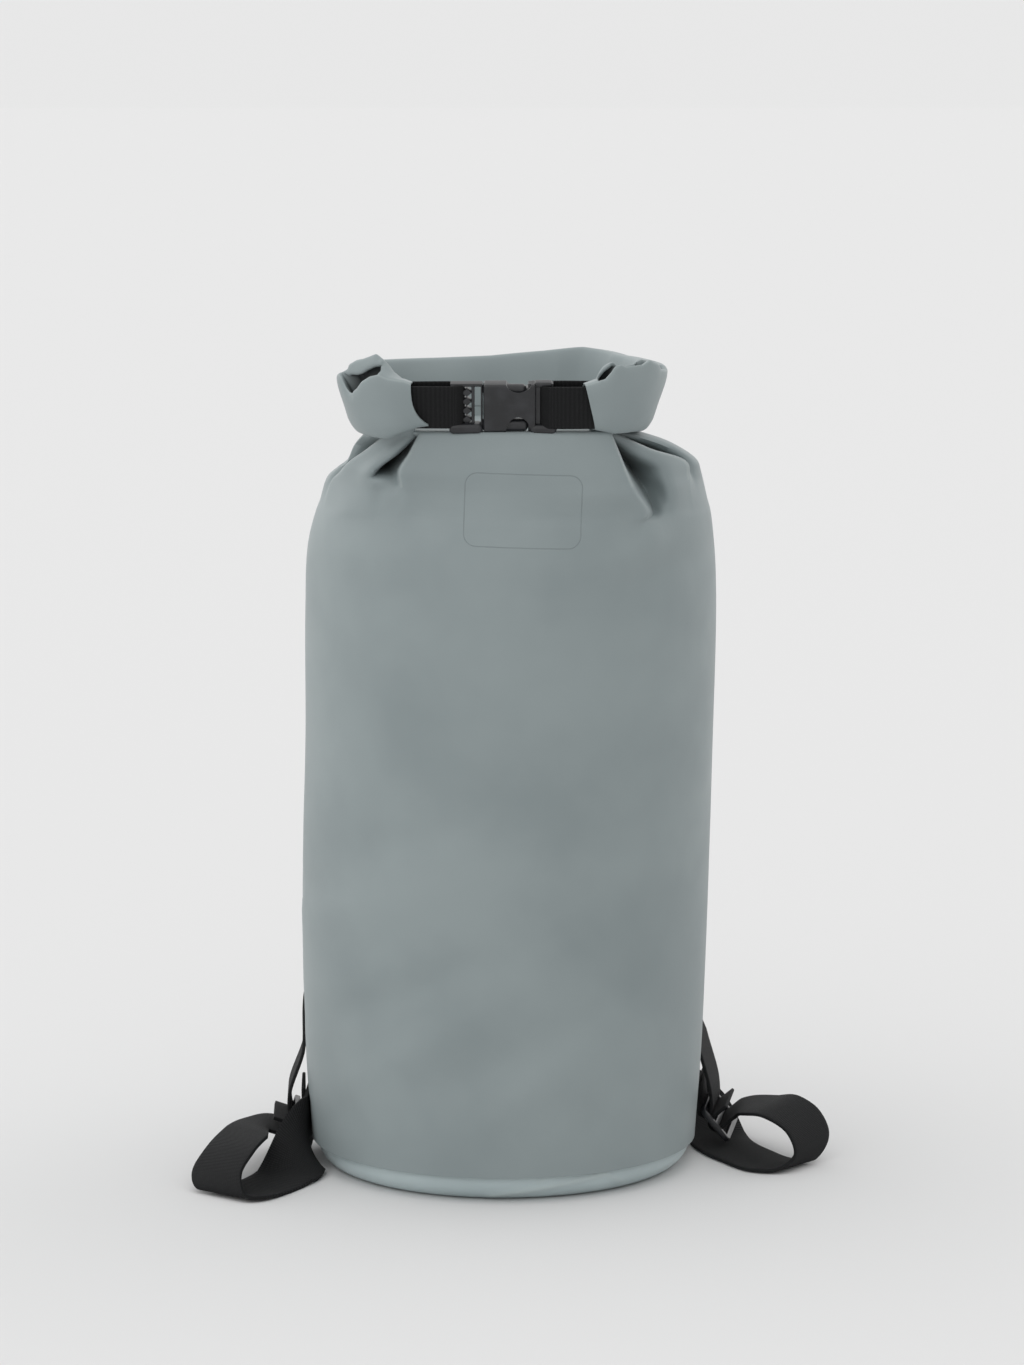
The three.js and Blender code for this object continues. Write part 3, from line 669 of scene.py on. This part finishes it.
def makeBase():
    shape = baseShape
    sag = shape["sag"]
    creases = shape["creases"]
    flat = shape["radius"] - shape["corner"]
    profile = [(flat * k / shape["flatSteps"], 0) for k in range(shape["flatSteps"] + 1)]
    for k in range(1, shape["cornerSteps"] + 1):
        turn = math.radians(90 * k / shape["cornerSteps"])
        profile.append((flat + shape["corner"] * math.sin(turn), shape["corner"] * (1 - math.cos(turn))))
    profile += [(shape["radius"], z) for z in shape["walls"]]
    rows = []
    for radius, z in profile:
        sagging = wallShare(z, sag["top"], sag["fade"]) * sag["deep"]
        creased = wallShare(z, creases["top"], creases["fade"])
        row = []
        for i in range(shape["sides"] + 1):
            turn = 2 * math.pi * i / shape["sides"]
            out = Vector((math.cos(turn), math.sin(turn), 0))
            spot = out * radius + Vector((0, 0, z))
            slack = noise.noise(out * sag["around"] + Vector((0, 0, z / sag["up"])))
            spot += out * (slack * sagging + creaseAt(spot) * creased)
            row.append(spot)
        rows.append(row)
    base = gridPiece("bagBase", rows, ring=True)
    edge = pointMarks(base, "edge")
    for vertex in base.data.vertices:
        edge.data[vertex.index].value = min(creaseAt(vertex.co / mm), 1) * creases["wear"]
    walled(base, shape["wall"], -1)
    ready(smooth(base, 60), baseClothBounceLit, "coated_cloth", "bag_base")


makeBase()
print("base made")


# The rolled mouth along the neck: heights of its outer crest, inner crest and foot, how high the inner layer
# ends above the outer crest, how open the slot between the crests is, and how far the inner crest leans out
rollCrests = table(("share", "outer", "inner", "foot", "lip", "slot", "lean"), [
    (-0.002, 467.5, 467.5, 443.4),
    (0.016, 469.3, 469.6, 442.4),
    (0.031, 471.2, 477, 440, 4),
    (0.0365, 472.3, 479.5, 438.4, 5),
    (0.038, 472.3, 480.3, 438, 5.5, 1),
    (0.046, 471.2, 483.4, 436, 6, 1),
    (0.054, 468.2, 481.6, 435.6, 7, 1, 0.5),
    (0.06, 464, 480.2, 436.2, 9, 1, 1.5),
    (0.067, 460.9, 479.2, 436.8, 11, 1, 2.4),
    (0.0715, 461, 478, 437, 11, 1, 3.4),
    (0.077, 462.8, 476.8, 437.2, 9, 1, 4.4),
    (0.083, 466.2, 474.4, 437.2, 4.5, 1, 5),
    (0.088, 468.8, 473.4, 437.2, 2, 0.5, 5.6),
    (0.093, 470.2, 472.4, 437.2, 1, 0, 5.8),
    (0.1, 470.4, 471.6, 437.2, 1, 0, 5.4),
    (0.11, 470, 470.8, 437.4, 1, 0, 4),
    (0.15, 468.6, 469),
    (0.2, 467.5, 466.5),
    (0.26, 467, 466),
    (0.295, 469.4, 469.4),
    (0.315, 471.6, 472.4),
    (0.4, 472.2, 473),
    (0.5, 473.5, 474.2),
    (0.6, 476, 477),
    (0.655, 478, 479.4),
    (0.73, 475.4, 476.4),
    (0.79, 474.6, 475.2),
    (0.85, 474, 475, 437.8, 1),
    (0.875, 473.4, 475.4, 438, 1),
    (0.9, 472.6, 475.8, 438.4, 1.2, 0.9),
    (0.928, 474.2, 477, 438.8, 1.4, 1),
    (0.937, 478, 479, 439, 1, 0.2),
    (0.945, 480.2, 478.4, 439, 1, 0.2),
    (0.951, 477.8, 475, 438.8, 0, 0.5),
    (0.968, 477, 473.6, 438.6, -1, 0.6),
    (0.9755, 478.2, 475.4, 438.6, -1, 0.5),
    (0.9785, 477.8, 478.4, 438.6, 0.4, 1),
    (0.9805, 474, 478, 438.6, 2.6, 1),
    (0.984, 470.2, 476.2, 438.8, 4.6, 1),
    (0.9885, 469.4, 472.2, 439.2, 2, 1),
    (0.9925, 468.8, 469.4, 439.8, 0.6),
    (1.017, 466.8, 466.8, 441.2, 0.6),
], plain=(437.8, 3, 0, 0))
# Sharp folds that run down the ring, as a push away from its middle
rollFolds = table(("share", "deep", "wide"), [
    (0.66, 2.6, 0.034),
    (0.725, -1.8, 0.03),
    (0.305, 1.6, 0.02),
])
rollShape = dict(
    inner=-0.6, outer=13, wall=1.1,
    stretches=[(-0.002, 0.16, 134), (0.16, 0.84, 130), (0.84, 1.017, 154)], crown=0.5, slotDeep=15,
    leftLap=10.8, rightLap=-6.5, leftBow=3.5, lapReach=0.07, lapTop=467.5, lapDrop=25, lapFrom=7.5,
    lapFade=3, slack=dict(deep=0.6, scale=24, shift=(9, 2, 5)), wear=0.12, endWear=0.35,
    ends=(0.12, 0.93),
)
rollSectionSteps = [3, 4, 4, 6, 2, 4, 5, 5, 3, 4, 5, 4, 4, 3, 3, 3]
rollEdgeColumns = [sum(rollSectionSteps[:3]), sum(rollSectionSteps[:9])]
# the columns inside the slot that get painted shade
rollSlotShadeColumns = (sum(rollSectionSteps[:5]) + 1, sum(rollSectionSteps[:8]))


def rollSection(share):  # outward distance and height, from the inner foot over the crests to the core
    columns = ("outer", "inner", "lean", "foot", "slot", "lip")
    values = [tableAt(rollCrests, "share", column, share) for column in columns]
    outerTop, innerTop, lean, low, slot, lip = values
    inner = rollShape["inner"]
    outer = rollShape["outer"]
    innerCrest = Vector((inner + 2 + lean, 0, innerTop - 0.5))
    outerCrest = Vector((outer - 1.2, 0, outerTop - 0.5))
    hang = outerTop + lip
    opened = [
        (4.8 + lean * 0.5, hang + 0.8), (4.5 + lean * 0.5, hang - 0.5), (1.4, hang - 0.6),
        (4.2, outerTop - rollShape["slotDeep"]), (outer - 2.6, outerTop - 3),
    ]
    middle = []
    for k, (a, b) in enumerate(opened):
        shut = innerCrest.lerp(outerCrest, (k + 1) / 6) + Vector((0, 0, rollShape["crown"]))
        middle.append(shut.lerp(Vector((a, 0, b)), slot))
    inside = [(inner + 0.4, low + 8.5), (inner, low + 18), (inner + 0.4, innerTop - 6)]
    outside = [
        (outer, outerTop - 4.5), (outer - 0.2, low + 14), (outer - 0.8, low + 5),
        (outer - 3.4, low + 0.5), (outer - 7, low + 1.8), (outer - 8.4, low + 7), (outer - 8, low + 13),
    ]
    points = [Vector((a, 0, b)) for a, b in inside] + [innerCrest] + middle + [outerCrest]
    return points + [Vector((a, 0, b)) for a, b in outside]


def rollShift(share, p):  # the two outer flaps end on a slant
    shape = rollShape
    outermost = clamped((p.x - shape["outer"] + shape["lapFrom"]) / shape["lapFade"])
    drop = clamped((shape["lapTop"] - p.z) / shape["lapDrop"]) * outermost
    first, last = shape["stretches"][0][0], shape["stretches"][-1][1]
    left = shape["leftLap"] * drop ** shape["leftBow"] * max(1 - (share - first) / shape["lapReach"], 0)
    right = shape["rightLap"] * drop * max(1 - (last - share) / shape["lapReach"], 0)
    return share + (right - left) / neckLengths[-1]


def rollFoldAt(share):
    return sum(f["deep"] * max(1 - abs(share - f["share"]) / f["wide"], 0) for f in rollFolds)


def makeRoll():
    shape = rollShape
    shares = [shape["stretches"][0][0]]
    for first, last, steps in shape["stretches"]:
        shares += [first + (last - first) * (k + 1) / steps for k in range(steps)]
    rows = []
    for share in shares:
        fold = rollFoldAt(share)
        row = []
        for p in splineRun(rollSection(share), rollSectionSteps):
            shifted = rollShift(share, p)
            spot = neckPoint(shifted, p.x + fold, p.z)
            slack = slackAt(spot, **shape["slack"])
            row.append(spot + (neckPoint(shifted, p.x + fold + 1, p.z) - spot) * slack)
        rows.append(row)
    roll = gridPiece("rollClosure", rows)
    edge = pointMarks(roll, "edge")
    inside = pointMarks(roll, "inside")
    wide = len(rows[0])
    for k, share in enumerate(shares):  # pale worn lines along the crests, painted shade inside the slots
        slot = tableAt(rollCrests, "share", "slot", share)
        wear = shape["wear"] if shape["ends"][0] <= share <= shape["ends"][1] else shape["endWear"]
        for column in rollEdgeColumns:
            edge.data[k * wide + column].value = wear
        # painted shade in the slot, as strong as the slot is open
        for column in range(*rollSlotShadeColumns):
            inside.data[k * wide + column].value = slot
    walled(roll, shape["wall"], 0)
    ready(smooth(roll, 60), plainCloth, "coated_cloth", "roll_closure")


makeRoll()
print("roll made")


# Webbing is a grid laid along its rows, then thickened and rounded at its edges
webbingAcross = 12
webbingRound = 0.3
sharpAngle = 1.0


def webbingPiece(name, rows, width, thickness, steps):
    path = [at for at, across in rows]
    total = (len(rows) - 1) * steps
    grid = []
    for i in range(total + 1):
        k = min(i // steps, len(rows) - 2)
        at = splineAt(path, i / total)
        across = rows[k][1].lerp(rows[k + 1][1], i / steps - k).normalized()
        grid.append([at + across * (width * (j / webbingAcross - 0.5)) for j in range(webbingAcross + 1)])
    piece = gridPiece(name, grid)
    return thickened(piece, thickness, thickness * webbingRound)


def thickened(piece, thickness, edge):
    finishWith(piece, "SOLIDIFY", thickness=thickness * mm, offset=0)
    return smooth(rounded(piece, edge, 2, sharpAngle), 50)


def hairpin(bar, inward, side, across, radius, lead, tail, spread):
    def spot(along, out):
        return (bar + inward * along + side * out, across)

    bend = radius * math.sqrt(0.5)
    return [
        spot(-lead, radius), spot(0, radius), spot(bend, bend), spot(radius, 0),
        spot(bend, -bend), spot(0, -radius), spot(-tail, -radius - spread),
    ]


# The clipped fastening leans with the roll
fastening = dict(place=(0, -101.8, 455), lean=math.atan(0.3), gap=0.3)
closureRuns = table(("name", "node", "bar", "half", "start"), [
    ("Left", "closure_webbing_left", -25.8, 2.6, -52.5),
    ("Right", "closure_webbing_right", 25.75, 3.5, 51.5),
])
closureSize = dict(width=25, thickness=1.6, steps=8)
fasteningTurn = Matrix.Rotation(fastening["lean"], 4, "X")
fasteningPlace = Matrix.Translation(Vector(fastening["place"]) * mm) @ fasteningTurn

for run in closureRuns:
    inward = Vector((math.copysign(1, run["bar"] - run["start"]), 0, 0))
    radius = run["half"] + closureSize["thickness"] / 2 + fastening["gap"]
    reach = abs(run["bar"] - run["start"])
    bar = Vector((run["bar"], 0, 0))
    rows = hairpin(bar, inward, Vector((0, -1, 0)), Vector((0, 0, 1)), radius, reach, reach, 0)
    band = webbingPiece("closureWebbing" + run["name"], rows, **closureSize)
    settle(band, fasteningPlace)
    ready(band, closureWebbing, "black_webbing", run["node"])
print("closure webbing made")


# Moulded plastic is cut from blocks, joined and rounded
def block(name, low, high):
    deselectAll()
    size = Vector(high) - Vector(low)
    middle = (Vector(high) + Vector(low)) / 2
    bpy.ops.mesh.primitive_cube_add(size=1, location=middle * mm, scale=size * mm)
    piece = bpy.context.object
    piece.name = name
    return settle(piece)


def drum(name, middle, radii, depth, sides=40):  # an oval bar through the plate
    deselectAll()
    bpy.ops.mesh.primitive_cylinder_add(vertices=sides, radius=1, depth=1, location=Vector(middle) * mm)
    piece = bpy.context.object
    piece.name = name
    piece.rotation_euler = (math.radians(90), 0, 0)
    piece.scale = (radii[0] * mm, radii[1] * mm, depth * mm)
    return settle(piece)


def cutOut(piece, other):
    finishWith(piece, "BOOLEAN", object=other, operation="DIFFERENCE", solver="EXACT")
    bpy.data.objects.remove(other)


def pickEdges():
    bpy.ops.mesh.select_mode(type="EDGE")
    bpy.ops.mesh.select_all(action="DESELECT")


def roundCorners(plate, radius):  # rounds the four edges that run through a plate's thickness
    editAll(plate, pickEdges)
    points = plate.data.vertices
    for edge in plate.data.edges:
        a, b = [points[i].co for i in edge.vertices]
        edge.select = abs(a.x - b.x) < 1e-6 and abs(a.z - b.z) < 1e-6
    pick(plate)
    bpy.ops.object.mode_set(mode="EDIT")
    bpy.ops.mesh.bevel(offset=radius * mm, segments=6, affect="EDGES")
    bpy.ops.object.mode_set(mode="OBJECT")


housing = dict(
    body=((-11, -4.6, -15), (18.4, 4.6, 13.4)), tail=((14, -2.5, -15), (28, 2.5, 13.4)),
    slot=((20.8, -9, -12.6), (24.4, 9, 12.6)), topScoop=((8.8, 0, 16), (7.6, 7.2)),
    lowScoop=((8.6, 0, -16.4), (7.2, 10.6)), socket=((-13, -2.8, -12), (9.5, 2.8, 11.6)),
    hook=((15.2, -5.4, -16.6), (30, 3, -10.4)), ear=((17.5, -3.2, 11.4), (27.5, 3, 14.2)), scoopDeep=30,
    bodyRound=1.6, edgeRound=0.5, hookRound=2.8, earRound=1.2,
)


def makeHousing():
    h = housing
    body = block("housing", *h["body"])
    rounded(body, h["bodyRound"], 4)
    for middle, radii in (h["topScoop"], h["lowScoop"]):
        cutOut(body, drum("scoop", middle, radii, h["scoopDeep"]))
    cutOut(body, block("socket", *h["socket"]))
    rounded(body, h["edgeRound"], 2)
    tail = block("tail", *h["tail"])
    cutOut(tail, block("slot", *h["slot"]))
    rounded(tail, h["edgeRound"], 3)
    hook = rounded(block("hook", *h["hook"]), h["hookRound"], 5)
    ear = rounded(block("ear", *h["ear"]), h["earRound"], 4)
    piece = joined("buckleFemale", [body, tail, hook, ear])
    settle(smooth(piece, 35), fasteningPlace)
    ready(piece, blackPlastic, "black_plastic", "buckle_female")


clasp = dict(
    plate=((-29.3, -2.5, -15), (-11.3, 2.5, 13.4)),
    openings=[((-23.4, -9, -11.6), (-17.6, 9, 11.6)), ((-15.8, -9, -11.6), (-12.4, 9, 11.6))],
    foot=((-30, -5.4, -16), (-11.4, 3, -10)),
    prongs=[((-12, -3.4, -15.2), (14, 3.4, -8.2)), ((-12, -3, 6.6), (13, 3, 12.4))],
    teeth=dict(x=-20.2, half=(2.9, 2.5), deep=5, count=4, pitch=5.4, sides=4, round=0.3), edgeRound=0.5,
    footRound=2.4, armRound=2.6,
)


def makeClasp():
    c = clasp
    plate = block("clasp", *c["plate"])
    for low, high in c["openings"]:
        cutOut(plate, block("opening", low, high))
    rounded(plate, c["edgeRound"], 3)
    pieces = [plate, rounded(block("foot", *c["foot"]), c["footRound"], 5)]
    for low, high in c["prongs"]:  # the two sprung arms that show in the scoops
        pieces.append(rounded(block("arm", low, high), c["armRound"], 5))
    t = c["teeth"]
    for i in range(t["count"]):  # pointed gripping teeth stand in the first opening
        z = t["pitch"] * (i - (t["count"] - 1) / 2)
        tooth = drum("tooth", (t["x"], 0, z), t["half"], t["deep"], t["sides"])
        pieces.append(rounded(tooth, t["round"], 2))
    piece = joined("buckleMale", pieces)
    settle(smooth(piece, 35), fasteningPlace)
    ready(piece, blackPlastic, "black_plastic", "buckle_male")


makeHousing()
makeClasp()
print("buckle made")


# Straps: each side's adjuster leans beside the bag, with the rows that its two webbings follow
strapSize = dict(width=38, thickness=2, gap=0.3, lead=12, tail=16, shoulderSteps=10, lowerSteps=8)
adjuster = dict(
    width=47, height=24.5, thickness=3.5, bar=3.5, barWrap=0.72, slot=7, side=3.6, corner=4, round=0.9,
    cutHalf=9,
)
strapSides = [
    dict(
        name="right", middle=(129.5, 36, 16.5),
        across=(-0.16, -0.985, -0.06), upright=(-0.6, 0.2, 0.77), dropping=(0.06, -0.03, -0.99),
        shoulder=[
            ((37, 126, 285), (0.95, -0.3, 0)), ((48, 139, 240), (0.92, -0.4, 0)),
            ((68, 137, 185), (0.85, -0.53, 0)), ((96, 110, 130), (0.6, -0.8, 0)),
            ((113, 72, 92), (0.25, -0.97, 0)), ((119, 46, 62), (-0.15, -0.98, -0.06)),
        ],
        lower=[
            ((153, 4, 30), (-0.6, -0.78, -0.1)), ((164, -13, 33), (-0.58, -0.8, -0.14)),
            ((176, -20, 26), (-0.55, -0.82, -0.14)), ((181, -24, 13), (-0.57, -0.81, -0.12)),
            ((172, -30, 3.2), (-0.65, -0.75, 0)), ((158, -27, 1.6), (-0.75, -0.66, 0)),
            ((143, -4, 1.5), (-0.8, -0.6, 0)), ((133, 18, 1.6), (-0.87, -0.48, 0)),
            ((127, 48, 1.9), (-0.97, -0.24, 0)), ((118, 76, 12), (-0.7, -0.5, -0.5)),
            ((98, 93, 22), (-0.2, -0.2, -0.95)),
        ],
        lowerSewn=(56, 63, 70), patch=(48, 76), shoulderSewn=76.5,
    ),
    dict(
        name="left", middle=(-126, 8, 18.5),
        across=(0.03, -0.999, -0.02), upright=(0.3, 0, 0.95), dropping=(0, -0.03, -1),
        shoulder=[
            ((-28, 126, 285), (-0.95, -0.3, 0)), ((-42, 139, 240), (-0.92, -0.4, 0)),
            ((-66, 137, 185), (-0.85, -0.53, 0)), ((-97, 108, 130), (-0.6, -0.8, 0)),
            ((-115, 64, 92), (-0.2, -0.97, 0)), ((-119, 24, 62), (0.02, -1, 0)),
        ],
        lower=[
            ((-145, -18, 23), (0.38, -0.92, 0)), ((-149, -50, 27), (0.66, -0.75, 0.03)),
            ((-157.5, -75, 22.5), (0.74, -0.66, 0.1)), ((-164.5, -88, 12), (0.76, -0.63, 0.12)),
            ((-161.5, -98, 3.8), (0.78, -0.62, 0.02)), ((-151, -95, 2.3), (0.8, -0.6, 0)),
            ((-127, -57, 2.3), (0.86, -0.51, 0)), ((-118.5, -36, 12.2), (0.75, -0.42, -0.51)),
            ((-115.6, -18, 21.8), (0.03, -0.02, -1)), ((-115.4, 4, 23), (0, 0, -1)),
        ],
        lowerSewn=(162, 156, 150), patch=(144, 163), shoulderSewn=103.5,
    ),
]
sewnHeights = dict(shoulder=(356, 338, 320), lower=26.5)
patches = dict(
    back=((68, 112), (308, 362)), base=(16, 56), steps=(8, 24), reach=1.2, thickness=1.2, round=0.35,
)
strapTurn = adjuster["bar"] * adjuster["barWrap"] + strapSize["thickness"] / 2 + strapSize["gap"]
sewnReach = 3 * strapSize["gap"] + patches["thickness"] + strapSize["thickness"] / 2
upperReach = sewnReach + strapSize["gap"]
lowerReach = sewnReach + 2  # the lower webbing stands a little off its patch
wallSearch = 30


def tubeWallAt(turn, z):
    line = [ovalPoint(level, turn) for level in tubeLevels + gatherLevels[:2]]
    low, high = 0.0, 1.0
    for _ in range(wallSearch):
        middle = (low + high) / 2
        if splineAt(line, middle).z < z:
            low = middle
        else:
            high = middle
    return splineAt(line, low)


def backPlace(turn, z, reach):
    angle = math.radians(turn)
    return tubeWallAt(turn, z) + Vector((math.cos(angle), math.sin(angle), 0)) * reach


def sideAxes(side):
    across = Vector(side["across"]).normalized()
    up = Vector(side["upright"])
    up = (up - across * up.dot(across)).normalized()
    face = up.cross(across)
    face *= math.copysign(1, face.x * side["middle"][0])
    return across, up, face


def asRows(places):
    return [(Vector(at), Vector(across).normalized()) for at, across in places]


def finishStrap(kind, name, rows, steps):
    width, thickness = strapSize["width"], strapSize["thickness"]
    strap = webbingPiece(kind + "Strap" + name.title(), rows, width, thickness, steps)
    ready(strap, strapWebbing, "black_webbing", kind + "_strap_" + name)


def sewnAcross(side):  # the way across a shoulder strap where it is sewn on
    turn = math.radians(side["shoulderSewn"] - math.copysign(90, side["middle"][0]))
    return Vector((math.cos(turn), math.sin(turn), 0))


def makeShoulderStrap(side):
    across, up, _ = sideAxes(side)
    bar = Vector(side["middle"]) + up * (adjuster["bar"] + adjuster["slot"])
    flat = sewnAcross(side)
    sewn = [(backPlace(side["shoulderSewn"], z, upperReach), flat) for z in sewnHeights["shoulder"]]
    dropping = Vector(side["dropping"]).normalized()
    out = dropping.cross(across)
    out *= math.copysign(1, out.x * side["middle"][0])
    size = strapSize
    bend = hairpin(bar, dropping, out, across, strapTurn, size["lead"], size["tail"], size["gap"])
    rows = sewn + asRows(side["shoulder"]) + bend
    finishStrap("shoulder", side["name"], rows, size["shoulderSteps"])


def makeLowerStrap(side):
    across, up, face = sideAxes(side)
    size = strapSize
    bar = Vector(side["middle"])
    bend = hairpin(bar, -face, -up, across, strapTurn, size["lead"], size["lead"], 2 * size["gap"])
    down = Vector((0, 0, -1))
    sewn = [(backPlace(turn, sewnHeights["lower"], lowerReach), down) for turn in side["lowerSewn"]]
    rows = bend[::-1] + asRows(side["lower"]) + sewn
    finishStrap("lower", side["name"], rows, size["lowerSteps"])


def makeAdjuster(side):
    across, up, face = sideAxes(side)
    half = adjuster["width"] / 2
    high = adjuster["height"] / 2
    deep = adjuster["thickness"] / 2
    name = "strapAdjuster" + side["name"].title()
    plate = block(name, (-half, -deep, -high), (half, deep, high))
    roundCorners(plate, adjuster["corner"])
    slotHalf = half - adjuster["side"]
    cutHalf = adjuster["cutHalf"]
    for low in (-high + adjuster["bar"], adjuster["bar"] / 2):
        cut = block("slot", (-slotHalf, -cutHalf, low), (slotHalf, cutHalf, low + adjuster["slot"]))
        cutOut(plate, cut)
    rounded(plate, adjuster["round"], 3)
    turn = Matrix((across, -face, up)).transposed().to_4x4()
    settle(smooth(plate, 35), Matrix.Translation(Vector(side["middle"]) * mm) @ turn)
    plate.name = name
    ready(plate, blackPlastic, "black_plastic", "strap_adjuster_" + side["name"])


def makePatch(name, node, turns, heights):
    up, around = patches["steps"]
    spread = [turns[0] + (turns[1] - turns[0]) * j / around for j in range(around + 1)]
    rows = []
    for i in range(up + 1):
        z = heights[0] + (heights[1] - heights[0]) * i / up
        rows.append([backPlace(turn, z, patches["reach"]) for turn in spread])
    patch = thickened(gridPiece(name, rows), patches["thickness"], patches["round"])
    ready(patch, plainCloth, "coated_cloth", node)


# Crossed box stitches hold the sewn ends: the size of a stitch, and half the box across and up each end
stitch = dict(long=2.6, wide=0.75, thick=0.55, round=0.24, pitch=3.5, span=(0.3, 0.7), proud=0.12)
stitchBoxes = dict(shoulder=(15.2, 14.5), lower=(10.5, 15.2), towardEnd=0.12)


def stitchDash(at, along, out):
    half = Vector((stitch["long"], stitch["wide"], stitch["thick"])) / 2
    dash = rounded(block("stitch", -half, half), stitch["round"], 2)
    beside = out.cross(along).normalized()
    turn = Matrix((along, beside, out)).transposed().to_4x4()
    return settle(dash, Matrix.Translation(at * mm) @ turn)


def makeStitches(name, half, face):  # face gives the webbing's outer side at a place in the box
    wide, high = half
    corners = [(-wide, -high), (wide, -high), (wide, high), (-wide, high)]
    lines = list(zip(corners, corners[1:] + corners[:1])) + list(zip(corners[:2], corners[2:]))
    dashes = []
    for first, last in lines:
        first, last = Vector(first), Vector(last)
        count = round((last - first).length / stitch["pitch"])
        step = (last - first) / count
        for k in range(count):
            a, b = [face(*(first + step * (k + end))) for end in stitch["span"]]
            u, v = first + step * (k + 0.5)
            out = (face(u + 1, v) - face(u - 1, v)).cross(face(u, v + 1) - face(u, v - 1)).normalized()
            out *= math.copysign(1, out.dot(Vector((a.x, a.y, 0))))
            dashes.append(stitchDash((a + b) / 2 + out * stitch["proud"], (b - a).normalized(), out))
    ready(smooth(joined(name, dashes), 50), blackThread, "black_webbing")


def sewEnds(side):
    flat = sewnAcross(side)
    outer = strapSize["thickness"] / 2
    first, _, last = side["lowerSewn"]
    middle = (first + last) / 2 + (last - first) * stitchBoxes["towardEnd"]

    def upperFace(u, v):
        z = sewnHeights["shoulder"][1] + v
        return backPlace(side["shoulderSewn"], z, upperReach + outer) + flat * u

    def lowerFace(u, v):
        around = math.degrees(u / tubeLevels[0]["halfWidth"])
        return backPlace(middle + around, sewnHeights["lower"], lowerReach + outer) + Vector((0, 0, v))

    makeStitches("shoulderStitches" + side["name"].title(), stitchBoxes["shoulder"], upperFace)
    makeStitches("lowerStitches" + side["name"].title(), stitchBoxes["lower"], lowerFace)


for side in strapSides:
    makeShoulderStrap(side)
    makeLowerStrap(side)
    sewEnds(side)
    makeAdjuster(side)
    name = side["name"]
    makePatch("basePatch" + name.title(), "base_patch_" + name, side["patch"], patches["base"])
makePatch("backPatch", "back_patch", *patches["back"])
print("straps made")


# Pale floor that climbs a little far behind, and soft studio light
stage = dict(
    floor=(0.685, 0.685, 0.685, 1), roughness=0.9, specular=0.1, half=40, front=-20, level=30, back=54,
    climb=2.2,
)
# The studio's brightness by direction: how much each lamp adds, and how tightly
skyLevel = 0.77
lamps = table(("name", "toward", "adds", "tight"), [
    ("left key", (-0.85, -0.45, 0.3), 0.33, 3),
    ("left rim", (-0.75, 0.65, 0.15), 0.7, 4),
    ("right rim", (0.8, 0.6, 0.15), 0.85, 4),
    ("overhead", (0, -0.05, 1), 0.52, 2.5),
    ("low front", (0, -1, 0.04), 0.48, 4),
    ("right front flag", (0.8, -0.6, 0.05), -0.55, 3),
])


def makeStage():
    rows = []
    for y, z in ((stage["front"], 0), (stage["level"], 0), (stage["back"], stage["climb"])):
        rows.append([Vector((side * stage["half"], y, z)) / mm for side in (-1, 1)])
    floor = gridPiece("floor", rows)
    paint = Paint(bpy.data.materials.new("pale floor"))
    paint.set(Base_Color=stage["floor"], Roughness=stage["roughness"], Specular_IOR_Level=stage["specular"])
    floor.data.materials.append(paint.material)


def makeLights():
    world = bpy.data.worlds.new("studio")
    bpy.context.scene.world = world
    sky = Paint(world, "Background")
    x, y, z = sky.parts(sky.node("ShaderNodeTexCoord", out="Generated"))
    bright = skyLevel
    for lamp in lamps:
        a, b, c = Vector(lamp["toward"]).normalized()
        facing = (x * a + y * b + z * c).to("MAXIMUM")
        bright = facing.to("POWER", lamp["tight"]) * lamp["adds"] + bright
    sky.set(Color=(1, 1, 1, 1), Strength=bright.to("MAXIMUM"))


makeStage()
makeLights()
bpy.context.scene.view_settings.view_transform = "Standard"
print("stage made")
